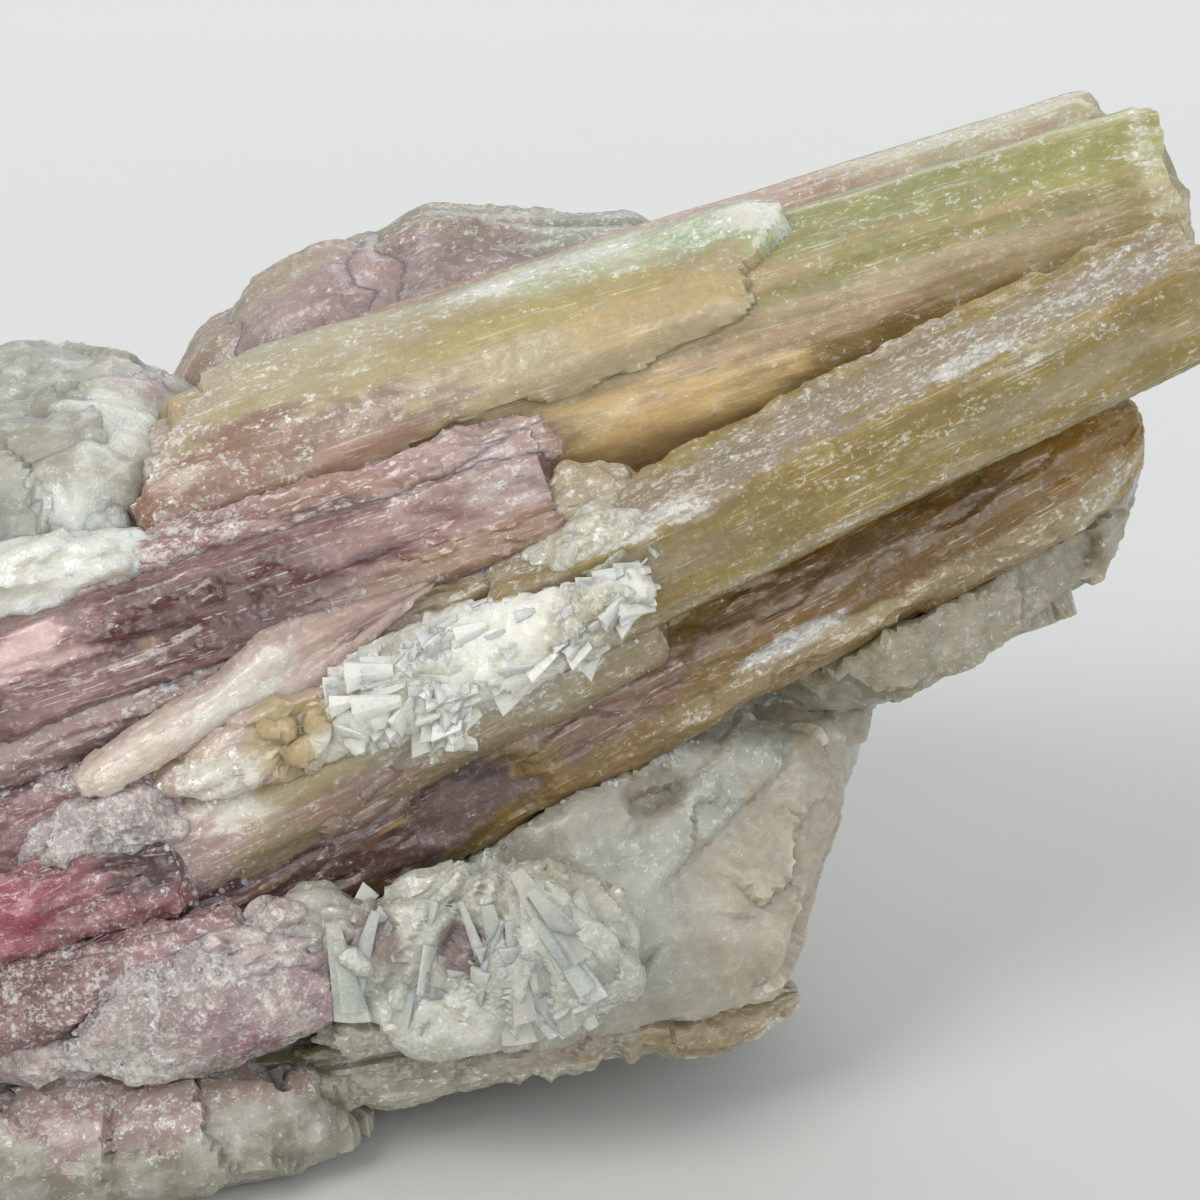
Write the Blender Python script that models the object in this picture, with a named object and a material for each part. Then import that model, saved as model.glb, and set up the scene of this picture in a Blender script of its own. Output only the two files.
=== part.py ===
"""Rubellite in quartz matrix: a hand specimen of sub-parallel tourmaline crystals.

Pink rubellite, green and tan tourmaline prisms and sprays of bladed cleavelandite are set in broken
milky quartz, with a grainy patch of lilac lepidolite low on the front.  The crystals lean up to the
right and stand clear of the quartz there.  +X is to the right along the crystals, -Y is the front,
+Z is up, and the origin lies under the middle of the specimen on the surface that it rests on.
"""
import math
import random

import bmesh
import bpy
from mathutils import Matrix, Vector, noise

# ---- Driving sizes, in metres unless the name says otherwise -------------------------------------
MM = 0.001
SWELL = 0.5 * MM          # how far a room stands off its crystal's corners, about 0.3 mm off its faces
DATUM = Vector((7.65, 2.65, 0.0)) * MM     # the point under the middle, in the frame of the sizes below
SOLVER = "MANIFOLD"       # the exact solver loses ribbed columns that lie this close together

COLOURS = {               # base colour and roughness of each mineral
    "green_tourmaline": ((0.60, 0.56, 0.34), 0.40),
    "tan_tourmaline": ((0.56, 0.45, 0.28), 0.40),
    "peach_tourmaline": ((0.68, 0.48, 0.38), 0.42),
    "brown_tourmaline": ((0.42, 0.29, 0.20), 0.42),
    "rubellite": ((0.60, 0.30, 0.34), 0.38),
    "hot_pink_rubellite": ((0.62, 0.20, 0.30), 0.38),
    "mauve_rubellite": ((0.46, 0.30, 0.36), 0.40),
    "cleavelandite": ((0.78, 0.80, 0.76), 0.45),
    "lepidolite": ((0.60, 0.46, 0.50), 0.55),
    "milky_quartz": ((0.66, 0.65, 0.60), 0.45),
}


# ---- Scene and small helpers ---------------------------------------------------------------------
def clear_scene():
    for thing in list(bpy.data.objects):
        bpy.data.objects.remove(thing)


def new_collection(name, shown=True):
    made = bpy.data.collections.new(name)
    made.hide_render = not shown
    bpy.context.scene.collection.children.link(made)
    return made


def material(name):
    found = bpy.data.materials.get(name)
    if found:
        return found
    colour, roughness = COLOURS[name]
    made = bpy.data.materials.new(name)
    made.use_nodes = True
    shader = made.node_tree.nodes["Principled BSDF"]
    shader.inputs["Base Color"].default_value = (*colour, 1.0)
    shader.inputs["Roughness"].default_value = roughness
    shader.inputs["Metallic"].default_value = 0.0
    return made


def object_of(bm, name, collection):
    """An object that holds this bmesh, in the given collection."""
    mesh = bpy.data.meshes.new(name)
    bmesh.ops.recalc_face_normals(bm, faces=bm.faces[:])
    if bm.calc_volume(signed=True) < 0:
        bmesh.ops.reverse_faces(bm, faces=bm.faces[:])
    bm.to_mesh(mesh)
    bm.free()
    made = bpy.data.objects.new(name, mesh)
    collection.objects.link(made)
    if collection.hide_render:
        made.hide_render = True
        made.display_type = "WIRE"
    return made


def evaluated_mesh(piece):
    graph = bpy.context.evaluated_depsgraph_get()
    return bpy.data.meshes.new_from_object(piece.evaluated_get(graph))


def around(outline, degrees):
    """The value of a closed outline of (degrees, value) stops at an angle, eased between stops."""
    degrees %= 360
    stops = sorted(outline)
    before = max((s for s in stops if s[0] <= degrees), default=(stops[-1][0] - 360, stops[-1][1]))
    after = min((s for s in stops if s[0] > degrees), default=(stops[0][0] + 360, stops[0][1]))
    share = (degrees - before[0]) / (after[0] - before[0])
    share = share * share * (3 - 2 * share)
    return before[1] + (after[1] - before[1]) * share


# ---- Crystals ------------------------------------------------------------------------------------
def axes_of(foot, tip):
    """Up, front and along: the crystal's own axes, with its front turned to -Y."""
    along = (tip - foot).normalized()
    front = Vector((0, -1, 0))
    front = (front - front.dot(along) * along).normalized()
    return front.cross(along), front, along


def unit_cylinder(sides, rings):
    """A cylinder of radius 1 and height 1 on z = 0, with rings along it and domed-ready caps."""
    bm = bmesh.new()
    bmesh.ops.create_cone(bm, cap_ends=True, cap_tris=False, segments=sides, radius1=1, radius2=1, depth=1,
                          matrix=Matrix.Translation((0, 0, 0.5)))
    for ring in range(1, rings):
        everything = bm.verts[:] + bm.edges[:] + bm.faces[:]
        bmesh.ops.bisect_plane(bm, geom=everything, plane_co=(0, 0, ring / rings), plane_no=(0, 0, 1))
    caps = [face for face in bm.faces if abs(face.normal.z) > 0.9]
    bmesh.ops.inset_individual(bm, faces=caps, thickness=0.38)
    bmesh.ops.poke(bm, faces=caps)
    return bm


def prism(name, foot, tip, outline, tip_outline=None, sides=20, rings=6, rib=0.25, ragged=0.8, wander=0.3,
          tip_edge=((0, 0.0),), seed=1, collection=None):
    """A striated crystal from foot to tip, both in mm.

    outline and tip_outline give its radius in mm at degrees from its top (0) over its front (90),
    and it runs evenly from one to the other.  Ribs stand and sink by rib mm on alternate corners,
    both ends are broken rough by ragged mm, and tip_edge moves the tip's rim along the crystal by
    mm at each angle.
    """
    foot, tip = Vector(foot), Vector(tip)
    up, front, along = axes_of(foot, tip)
    length = (tip - foot).length
    tip_outline = tip_outline or outline
    bm = unit_cylinder(sides, rings)
    for vert in bm.verts:
        share = vert.co.z
        reach = math.hypot(vert.co.x, vert.co.y)
        angle = math.degrees(math.atan2(vert.co.y, vert.co.x)) % 360
        corner = round(angle / 360 * sides)
        turn = math.radians(angle)
        at = Vector((math.cos(turn), math.sin(turn), share * 2.0)) * 1.7 + Vector((seed * 7.3, 0, 0))
        radius = (1 - share) * around(outline, angle) + share * around(tip_outline, angle)
        radius += rib * (-1) ** corner + wander * noise.noise(at)
        edge = around(tip_edge, angle) if len(tip_edge) > 1 else 0.0
        height = share * (length + edge * min(1.0, reach * 1.2))
        if share in (0.0, 1.0) or reach < 0.9:
            height += ragged * noise.noise(at * 2.3 + Vector((reach * 3.1, 5.0, share))) * 1.6
        outward = up * math.cos(turn) + front * math.sin(turn)
        vert.co = (foot + along * height + outward * radius * reach) * MM
    return object_of(bm, name, collection or bpy.data.collections["specimen_pieces"])


# ---- Broken stone --------------------------------------------------------------------------------
def lump(name, centre, halves, tilt=0.0, cuts=(), fractures=4, rough=0.06, fine=2, seed=1, collection=None):
    """A broken lump round a centre, in mm, with three half sizes and a tilt in degrees about Y.

    cuts are flat faces given as (point on it, outward direction), fractures adds that many more at
    random, and fine sets how many facets the rest has.
    """
    picks = random.Random(seed)
    bm = bmesh.new()
    bmesh.ops.create_icosphere(bm, subdivisions=fine, radius=1)
    for vert in bm.verts:
        vert.co *= 1 + rough * 2 * noise.noise(vert.co * 1.9 + Vector((seed * 3.7, 0, 0)))
    place = Matrix.Rotation(math.radians(-tilt), 3, "Y") @ Matrix.Diagonal(Vector(halves))
    for vert in bm.verts:
        vert.co = place @ vert.co + Vector(centre)
    planes = [(Vector(point), Vector(outward).normalized()) for point, outward in cuts]
    for _ in range(fractures):
        ball = Vector((picks.gauss(0, 1), picks.gauss(0, 1), picks.gauss(0, 1))).normalized()
        reach = max((vert.co - Vector(centre)).dot(ball) for vert in bm.verts)
        planes.append((Vector(centre) + ball * reach * picks.uniform(0.66, 0.86), ball))
    for point, outward in planes:
        everything = bm.verts[:] + bm.edges[:] + bm.faces[:]
        cut = bmesh.ops.bisect_plane(bm, geom=everything, plane_co=point, plane_no=outward, clear_outer=True)
        rim = [part for part in cut["geom_cut"] if isinstance(part, bmesh.types.BMEdge)]
        if rim:
            bmesh.ops.contextual_create(bm, geom=rim)
    bmesh.ops.scale(bm, verts=bm.verts[:], vec=(MM, MM, MM))
    return object_of(bm, name, collection or bpy.data.collections["helpers"])


# ---- Joining, and making room --------------------------------------------------------------------
def join_shapes(piece, shapes):
    """Adds the shapes to the piece as one body."""
    for shape in shapes:
        union = piece.modifiers.new("join " + shape.name, "BOOLEAN")
        union.operation = "UNION"
        union.solver = SOLVER
        union.object = shape
    return piece


def swollen_hull(name, mesh):
    """The hull round a mesh, without its ribs and hollows, grown by SWELL."""
    bm = bmesh.new()
    for vert in mesh.vertices:
        bm.verts.new(vert.co)
    bmesh.ops.convex_hull(bm, input=bm.verts[:])
    bmesh.ops.delete(bm, geom=[vert for vert in bm.verts if not vert.link_faces], context="VERTS")
    hull = object_of(bm, name, bpy.data.collections["helpers"])
    swell = hull.modifiers.new("swell", "DISPLACE")
    swell.strength = SWELL
    swell.mid_level = 0.0
    return hull


def room_for(piece, members=()):
    """The room that its neighbours leave for a piece: the grown hulls of its members, joined."""
    name = piece.name + "_room"
    room = bpy.data.objects.get(name)
    if room is None:
        hulls = [swollen_hull(name, evaluated_mesh(piece))]
        hulls += [swollen_hull(member.name + "_room", member.data) for member in members]
        room = hulls[0]
        join_shapes(room, hulls[1:])
    return room


def make_room(piece, neighbours):
    """Cuts the piece back from each neighbour, then keeps its main body."""
    for neighbour in neighbours:
        cut = piece.modifiers.new("room for " + neighbour.name, "BOOLEAN")
        cut.operation = "DIFFERENCE"
        cut.solver = SOLVER
        cut.object = room_for(neighbour)
    settle(piece)
    return piece


def settle(piece):
    """Applies the piece's modifiers, and drops the chips that its cuts set free."""
    mesh = evaluated_mesh(piece)
    piece.modifiers.clear()
    piece.data = mesh
    bm = bmesh.new()
    bm.from_mesh(mesh)
    bmesh.ops.remove_doubles(bm, verts=bm.verts[:], dist=0.004 * MM)
    bodies, seen = [], set()
    for start in bm.faces:
        if start in seen:
            continue
        body, waiting = set(), [start]
        while waiting:
            face = waiting.pop()
            if face not in body:
                body.add(face)
                waiting += [near for edge in face.edges for near in edge.link_faces if near not in body]
        seen |= body
        bodies.append(body)
    main = max(bodies, key=len)
    chips = [face for body in bodies if body is not main for face in body]
    bmesh.ops.delete(bm, geom=chips, context="FACES")
    bm.to_mesh(mesh)
    bm.free()


# ---- The specimen --------------------------------------------------------------------------------
clear_scene()
new_collection("specimen_pieces")
new_collection("helpers", shown=False)
HELPERS = bpy.data.collections["helpers"]
PIECES = bpy.data.collections["specimen_pieces"]

# The thick prism that leans out to the upper right.  Its core is bare at the tip, and a second
# growth sleeves the rest of it, scalloped at the edge where it broke away.
upper_prism = prism("upper_prism", (-9.5, 1.0, 51.4), (74.0, 9.1, 76.6),
                    [(0, 9.8), (50, 9.4), (90, 9.6), (135, 10.6), (180, 10.4), (270, 9.6), (315, 9.9)],
                    [(0, 8.6), (50, 8.0), (90, 8.2), (135, 8.8), (180, 8.4), (270, 8.2), (315, 8.6)],
                    sides=24, rings=9, rib=0.12, ragged=0.9, wander=0.35, seed=3)
sleeve = prism("sleeve", (-13.5, 0.6, 50.2), (39.4, 5.8, 66.2),
               [(0, 11.6), (45, 11.2), (66, 11.3), (84, 9.6), (100, 8.4), (180, 8.0), (258, 9.6),
                (285, 11.5)],
               [(0, 10.9), (40, 10.9), (60, 10.9), (74, 9.2), (100, 7.6), (180, 7.4), (258, 8.4),
                (285, 10.7)],
               sides=24, rings=7, rib=0.15, ragged=1.5, wander=0.5, seed=8, collection=HELPERS,
               tip_edge=[(0, 2.8), (15, 1.6), (35, -0.6), (50, 0.9), (62, -1.6), (75, -6.0), (180, -10),
                         (300, 0)])
room_for(upper_prism, [sleeve])
join_shapes(upper_prism, [sleeve])
settle(upper_prism)

# A thinner prism lies along the back of it.
back_top_prism = prism("back_top_prism", (4.0, 17.4, 57.8), (68.9, 22.6, 78.4),
                       [(0, 4.7), (90, 4.4), (180, 5.2), (270, 4.6)],
                       [(0, 4.0), (90, 3.8), (180, 4.6), (270, 3.9)],
                       sides=12, rings=5, rib=0.2, ragged=0.7, seed=5)

# The front prism shows a flat bright face upward and a tan one forward, with a ridge between them.
front_prism = prism("front_prism", (17.0, -13.9, 47.1), (75.4, -6.8, 74.6),
                    [(-45, 6.6), (12, 5.4), (62, 6.9), (105, 5.9), (150, 6.7), (195, 5.9), (260, 6.0)],
                    [(-45, 6.3), (12, 5.5), (62, 6.7), (105, 5.8), (150, 6.4), (195, 5.7), (260, 5.8)],
                    sides=20, rings=9, rib=0.12, ragged=0.8, wander=0.3, seed=7)

# The long lower prism runs under the other three, and swells toward its rounded tip.
lower_prism = prism("lower_prism", (-16.0, -19.3, 17.5), (70.2, 1.0, 59.6),
                    [(0, 5.6), (70, 5.4), (120, 6.0), (180, 5.6), (270, 5.4)],
                    [(0, 6.0), (70, 6.2), (120, 6.6), (180, 6.2), (270, 6.0)],
                    sides=20, rings=9, rib=0.15, ragged=0.9, wander=0.45, seed=11)

# A short yellowish prism lies between them, under the white blades.
tan_prism = prism("tan_prism", (-12.5, -20.6, 28.2), (29.5, -9.8, 45.6),
                  [(0, 4.6), (60, 4.4), (120, 5.0), (180, 4.8), (270, 4.6)],
                  sides=16, rings=6, rib=0.18, ragged=0.8, wander=0.35, seed=13)


def columns(name, rows, seed, sides=10, rings=4, rib=0.2, ragged=0.9, wander=0.35):
    """Columns grown together: rows of (foot, tip, radius at the foot, radius at the tip), in mm."""
    members = []
    for number, (foot, tip, foot_radius, tip_radius) in enumerate(rows):
        members.append(prism(f"{name}_{number}" if number else name, foot, tip,
                             [(0, foot_radius), (120, foot_radius * 1.06), (240, foot_radius * 0.96)],
                             [(0, tip_radius), (120, tip_radius * 1.06), (240, tip_radius * 0.96)],
                             sides=sides, rings=rings, rib=rib, ragged=ragged, wander=wander,
                             seed=seed + number * 3, collection=HELPERS if number else PIECES))
    room_for(members[0], members[1:])
    join_shapes(members[0], members[1:])
    settle(members[0])
    return members[0]


# Pink columns grown side by side, broken off together in a pale ragged end.
rubellite_bundle = columns("rubellite_bundle", [
    ((-59.0, -14.5, 30.5), (20.6, -6.6, 56.6), 6.4, 5.6),
    ((-61.0, -17.0, 35.2), (21.0, -8.2, 60.6), 3.3, 2.7),
    ((-60.0, -21.2, 31.6), (21.4, -11.0, 57.4), 3.1, 2.6),
    ((-61.5, -22.6, 27.6), (20.0, -12.4, 54.0), 3.2, 2.7),
    ((-59.5, -22.0, 23.6), (16.8, -12.2, 50.6), 3.0, 2.3)], seed=21)

# One thin crystal lies loose-looking across the front of them.
rubellite_finger = prism("rubellite_finger", (-17.6, -23.9, 35.6), (11.6, -17.0, 51.2),
                         [(0, 2.0), (90, 2.0), (180, 2.3), (270, 2.0)],
                         [(0, 0.9), (90, 0.7), (180, 1.1), (270, 0.7)],
                         sides=10, rings=5, rib=0.15, ragged=0.3, wander=0.25, seed=31)

# Thick fibrous columns make the lower left of the specimen.
hot_pink_rubellite = columns("hot_pink_rubellite", [
    ((-58.0, -20.0, 14.5), (-4.0, -15.5, 30.0), 8.0, 6.6),
    ((-57.0, -24.2, 19.2), (-9.5, -19.4, 34.4), 4.2, 3.4),
    ((-60.0, -27.2, 13.2), (-3.6, -22.4, 29.4), 4.4, 3.6),
    ((-57.5, -28.0, 7.6), (-0.4, -24.6, 23.6), 4.3, 3.6)], seed=41)

# A broad weathered crystal rises at the back as a low dome.
back_rubellite = columns("back_rubellite", [
    ((-13.0, 26.0, 50.5), (12.0, 28.0, 60.3), 6.2, 8.8),
    ((-8.5, 26.0, 54.5), (8.0, 27.0, 60.8), 6.8, 8.4),
    ((4.0, 28.1, 60.9), (33.0, 30.6, 59.6), 8.2, 7.6)],
    seed=51, sides=14, rings=4, rib=0.3, ragged=1.8, wander=0.9)

# A thin ledge of crystal rim, cut down to a few ribs, crosses the bottom of the front.
ledge = prism("ledge", (-36.0, -25.0, 4.6), (41.5, -11.0, 10.6),
              [(0, 3.4), (60, 4.4), (90, 5.6), (130, 5.0), (180, 3.6), (270, 7.0)],
              [(0, 2.4), (60, 3.0), (90, 4.0), (130, 4.6), (180, 3.8), (270, 6.0)],
              sides=16, rings=9, rib=0.35, ragged=1.2, wander=1.2, seed=61)


# ---- White blades and the grainy patch -----------------------------------------------------------
def blade_spray(name, bed, spine, count, size, lean, seed):
    """Thin blades standing out of a bed lump.

    bed is the lump's arguments.  The blades sit at random places along the spine, a list of points
    in mm, and lean out from it toward the given direction.
    """
    picks = random.Random(seed)
    piece = lump(name, collection=PIECES, **bed)
    blades = []
    stops = [Vector(point) for point in spine]
    for number in range(count):
        share = number / max(1, count - 1) * (len(stops) - 1)
        leg = min(int(share), len(stops) - 2)
        at = stops[leg].lerp(stops[leg + 1], share - leg)
        at += Vector((picks.gauss(0, 0.5), picks.gauss(0, 0.3), picks.gauss(0, 0.9)))
        stray = Vector((picks.gauss(0, 0.7), picks.gauss(0, 0.35), picks.gauss(0, 0.6)))
        facing = (Vector(lean) + stray).normalized()
        long_side, wide_side, thick = (length * picks.uniform(0.75, 1.25) for length in size)
        bm = bmesh.new()
        bmesh.ops.create_cube(bm, size=1)
        for vert in bm.verts:
            taper = 0.72 if vert.co.z > 0 else 1.0
            vert.co.x *= wide_side * taper
            vert.co.y *= thick
            vert.co.z = vert.co.z * long_side + vert.co.x * 0.25
        turn = facing.to_track_quat("Z", "Y").to_matrix().to_4x4()
        roll = Matrix.Rotation(picks.uniform(0, math.pi), 4, "Z")
        bm.transform(Matrix.Scale(MM, 4) @ Matrix.Translation(at) @ turn @ roll)
        blades.append(object_of(bm, f"{name}_blade_{number}", HELPERS))
    join_shapes(piece, blades)
    settle(piece)
    return piece


cleavelandite_upper = blade_spray(
    "cleavelandite_upper",
    dict(centre=(12.6, -19.6, 44.9), halves=(17.5, 3.6, 4.2), tilt=25, fractures=2, seed=71),
    [(-2.5, -21.8, 39.0), (5.0, -22.2, 40.8), (12.0, -21.8, 43.6), (19.0, -21.0, 46.6), (27.0, -19.4, 50.6)],
    count=17, size=(4.4, 2.8, 0.9), lean=(0.15, -0.65, 0.8), seed=72)
cleavelandite_lower = blade_spray(
    "cleavelandite_lower",
    dict(centre=(14.0, -23.4, 20.6), halves=(14.5, 4.6, 8.2), tilt=8, fractures=3, seed=81),
    [(4.0, -27.0, 23.0), (9.0, -27.8, 18.0), (15.0, -27.0, 22.0), (19.0, -26.6, 18.0), (24.0, -25.0, 23.0)],
    count=12, size=(5.6, 3.2, 1.0), lean=(0.25, -0.6, 0.8), seed=84)
lepidolite = lump("lepidolite", (-9.0, -26.6, 17.6), (13.5, 4.8, 6.8), tilt=8, fractures=3, rough=0.10,
                  seed=91, collection=PIECES)


# ---- The quartz ----------------------------------------------------------------------------------
FLOOR_CUT = ((0, 0, 0), (0, 0, -1))
quartz_matrix = lump("quartz_matrix", (-9.0, 8.0, 27.0), (51.0, 24.0, 23.0), tilt=17, fractures=9,
                     rough=0.05, seed=101, cuts=[FLOOR_CUT], collection=PIECES)
quartz_lumps = [
    # the clear broken face at the lower right
    lump("right_face", (25.0, 2.0, 20.5), (29.0, 27.0, 21.0), tilt=8, fractures=3, fine=1, seed=103,
         cuts=[((33.0, -17.5, 21.0), (0.33, -0.78, 0.42)), ((47.6, 0, 22), (0.96, -0.2, -0.16)),
               ((10.0, -22.8, 20.0), (-0.25, -0.92, 0.15)), ((30.0, 0, 6.5), (0.1, -0.15, -1)),
               ((40, 20, 25), (0.6, 0.75, 0.1))]),
    # the white shelf under the lower prism
    lump("shelf", (55.0, 1.5, 46.5), (24.0, 14.0, 13.0), tilt=27, fractures=2, fine=1, seed=107,
         cuts=[((56.0, -7.2, 43.0), (0.31, -0.89, 0.32)), ((71.0, 3, 52), (0.93, -0.1, -0.3)),
               ((59.2, -6.1, 41.4), (0.50, -0.25, -0.83)), ((52, 13, 45), (0, 1, 0.1))]),
    # the grey and white lumps at the upper left
    lump("left_top", (-28.0, 14.0, 43.5), (25.0, 20.0, 16.5), tilt=10, fractures=9, seed=109),
    lump("left_cheek", (-23.5, 0.0, 49.0), (13.0, 12.0, 13.0), tilt=10, fractures=5, seed=113),
    # the back, the left end, and the feet
    lump("back_mass", (12.0, 20.0, 33.0), (35.0, 18.0, 26.0), tilt=16, fractures=9, seed=127),
    lump("left_end", (-41.0, 2.0, 24.0), (25.0, 28.0, 26.0), tilt=8, fractures=5, seed=132,
         cuts=[FLOOR_CUT, ((-60.0, 0, 25), (-0.98, 0.1, 0.15))]),
    lump("front_foot", (-17.0, -16.0, 4.2), (25.0, 18.0, 8.4), tilt=3, fractures=1, seed=137,
         cuts=[FLOOR_CUT, ((2.5, -25, 3), (0.9, -0.3, 0.3)), ((-20, -31.8, 4), (-0.1, -0.98, -0.1))]),
    lump("back_foot", (17.0, 17.0, 9.0), (23.0, 18.0, 14.0), fractures=6, seed=139, cuts=[FLOOR_CUT]),
]
join_shapes(quartz_matrix, quartz_lumps)
settle(quartz_matrix)

# ---- Room between neighbours ---------------------------------------------------------------------
make_room(back_top_prism, [upper_prism])
make_room(front_prism, [upper_prism])
make_room(lower_prism, [upper_prism, front_prism])
make_room(rubellite_bundle, [upper_prism, front_prism, lower_prism])
make_room(tan_prism, [rubellite_bundle, front_prism, lower_prism, upper_prism])
make_room(rubellite_finger, [rubellite_bundle, tan_prism])
make_room(hot_pink_rubellite, [rubellite_bundle, rubellite_finger, tan_prism, lower_prism])
make_room(back_rubellite, [upper_prism, back_top_prism])
make_room(ledge, [hot_pink_rubellite])
make_room(cleavelandite_upper, [rubellite_bundle, rubellite_finger, tan_prism, front_prism, lower_prism])
make_room(cleavelandite_lower, [lower_prism, hot_pink_rubellite, tan_prism, ledge])
make_room(lepidolite, [hot_pink_rubellite, lower_prism, cleavelandite_lower])
make_room(ledge, [lepidolite])
make_room(quartz_matrix, [upper_prism, back_top_prism, front_prism, lower_prism, rubellite_bundle, tan_prism,
                          rubellite_finger, hot_pink_rubellite, back_rubellite, ledge, cleavelandite_upper,
                          cleavelandite_lower, lepidolite])

# ---- Minerals, and the datum ---------------------------------------------------------------------
for piece, mineral in ((upper_prism, "green_tourmaline"), (back_top_prism, "peach_tourmaline"),
                       (front_prism, "tan_tourmaline"), (lower_prism, "brown_tourmaline"),
                       (tan_prism, "tan_tourmaline"), (rubellite_bundle, "rubellite"),
                       (rubellite_finger, "rubellite"), (hot_pink_rubellite, "hot_pink_rubellite"),
                       (back_rubellite, "mauve_rubellite"), (ledge, "tan_tourmaline"),
                       (cleavelandite_upper, "cleavelandite"), (cleavelandite_lower, "cleavelandite"),
                       (lepidolite, "lepidolite"), (quartz_matrix, "milky_quartz")):
    piece.data.materials.clear()
    piece.data.materials.append(material(mineral))
    piece.location = -DATUM
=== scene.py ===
"""Looks of a hand specimen: rubellite and tan tourmaline with feldspar blades in milky quartz.

+X runs to the right along the crystals, -Y is the front and +Z is up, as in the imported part.
"""
import math
import random

import bpy
import numpy as np
from mathutils import Matrix, Vector, noise
from mathutils.bvhtree import BVHTree


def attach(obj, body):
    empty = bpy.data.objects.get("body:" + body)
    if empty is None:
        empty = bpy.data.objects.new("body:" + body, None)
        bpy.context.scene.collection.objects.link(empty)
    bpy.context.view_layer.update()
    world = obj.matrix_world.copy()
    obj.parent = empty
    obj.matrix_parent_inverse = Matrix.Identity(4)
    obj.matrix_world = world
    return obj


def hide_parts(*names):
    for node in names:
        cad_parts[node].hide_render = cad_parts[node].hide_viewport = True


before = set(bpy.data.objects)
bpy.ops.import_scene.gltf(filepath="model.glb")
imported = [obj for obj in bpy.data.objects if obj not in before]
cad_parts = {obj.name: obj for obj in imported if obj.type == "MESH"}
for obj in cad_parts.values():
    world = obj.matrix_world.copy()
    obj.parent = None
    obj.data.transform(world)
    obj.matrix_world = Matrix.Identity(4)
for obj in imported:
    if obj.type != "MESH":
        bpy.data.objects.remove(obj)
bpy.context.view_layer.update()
bpy.ops.object.select_all(action="DESELECT")
noise.seed_set(11)                                        # fixes how the cleaved facets tilt

# ---- The table and the light ---------------------------------------------------------------------
# A matt pale table that curves up all round, its colour darkened towards the front as painted
# shade, one soft box over the upper left, a weak one on the right, and an even pale room.  The
# camera stands in front and looks down at the specimen.
MM = 0.001
TABLE_RADIUS, TABLE_CURVE = 1.5, 0.6
# Painted shade: the table's colour is darker at the front and paler to the back, standing in for
# the fall of the light.
TABLE_SHADE_SPAN = (-0.12, 0.34)                                # m to the back, where it turns paler
TABLE_SHADE_TONES = ((0, 0.57), (0.44, 0.78), (1, 0.86))
TABLE_STEPS = 8                                           # rings of faces in its curve
LIGHTS_AIM = Vector((0, 0, 0.04))


def plain_object(name):
    """The object that an operator has just added, under its own name."""
    made = bpy.context.object
    made.name = made.data.name = name
    return made


def shader_of(name, rough=0.5):
    """A new material, its node tree and its main shader."""
    made = bpy.data.materials.new(name)
    made.use_nodes = True
    tree = made.node_tree
    shader = tree.nodes["Principled BSDF"]
    shader.inputs["Roughness"].default_value = rough
    return made, tree, shader


bpy.ops.mesh.primitive_circle_add(vertices=128, radius=TABLE_RADIUS, fill_type="NGON")
table = plain_object("table")
bpy.ops.object.mode_set(mode="EDIT")
bpy.ops.mesh.select_all(action="SELECT")
bpy.ops.mesh.edge_face_add()
for step in range(TABLE_STEPS):
    before, turn = (math.radians(90 * edge / TABLE_STEPS) for edge in (step, step + 1))
    outward = TABLE_CURVE * (math.sin(turn) - math.sin(before))
    rise = TABLE_CURVE * (math.cos(before) - math.cos(turn))
    radius = TABLE_RADIUS + TABLE_CURVE * math.sin(before)
    bpy.ops.mesh.extrude_edges_move(TRANSFORM_OT_translate={"value": (0, 0, rise)})
    grow = (radius + outward) / radius
    bpy.ops.transform.resize(value=(grow, grow, 1), center_override=(0, 0, 0))
bpy.ops.object.mode_set(mode="OBJECT")
# The ramp below paints the table darker towards the front, a painted shade.
table_paint, tree, shader = shader_of("matt_table", rough=0.85)
spot, axes, depth, shade = (tree.nodes.new("ShaderNode" + kind)
                            for kind in ("TexCoord", "SeparateXYZ", "MapRange", "ValToRGB"))
tree.links.new(spot.outputs["Object"], axes.inputs[0])
tree.links.new(axes.outputs["Y"], depth.inputs[0])
depth.inputs[1].default_value, depth.inputs[2].default_value = TABLE_SHADE_SPAN
tree.links.new(depth.outputs[0], shade.inputs[0])
stops = shade.color_ramp.elements
stops.new(TABLE_SHADE_TONES[1][0])
for stop, (place, grey) in zip(stops, TABLE_SHADE_TONES):
    stop.position, stop.color = place, (grey, grey * 1.012, grey * 0.985, 1)
tree.links.new(shade.outputs[0], shader.inputs["Base Color"])
shader.inputs["Specular IOR Level"].default_value = 0.2
table.data.materials.append(table_paint)


def soft_box(name, place, size, power, colour=(1, 1, 1)):
    """A square soft box at a place, in metres, that faces the specimen."""
    bpy.ops.object.light_add(type="AREA", location=place)
    box = plain_object(name)
    box.data.size, box.data.energy, box.data.color = size, power, colour
    box.rotation_euler = (LIGHTS_AIM - Vector(place)).to_track_quat("-Z", "Y").to_euler()


soft_box("upper_left_box", (-0.42, -0.46, 0.66), 0.42, 3.4, (1.0, 0.985, 0.95))
soft_box("front_fill", (0.15, -1.1, 0.42), 0.8, 3.4, (1.0, 0.99, 0.97))
soft_box("right_fill", (0.85, -0.55, 0.45), 0.7, 1.8, (0.95, 0.98, 1.0))
soft_box("back_fill", (0.1, 0.9, 0.7), 0.7, 2.4, (0.97, 0.99, 1.0))
room = bpy.data.worlds.new("pale_room")
bpy.context.scene.world = room
room.use_nodes = True
room.node_tree.nodes["Background"].inputs["Color"].default_value = (0.93, 0.96, 1.0, 1)
room.node_tree.nodes["Background"].inputs["Strength"].default_value = 0.53
bpy.context.scene.view_settings.view_transform = "Standard"

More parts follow.
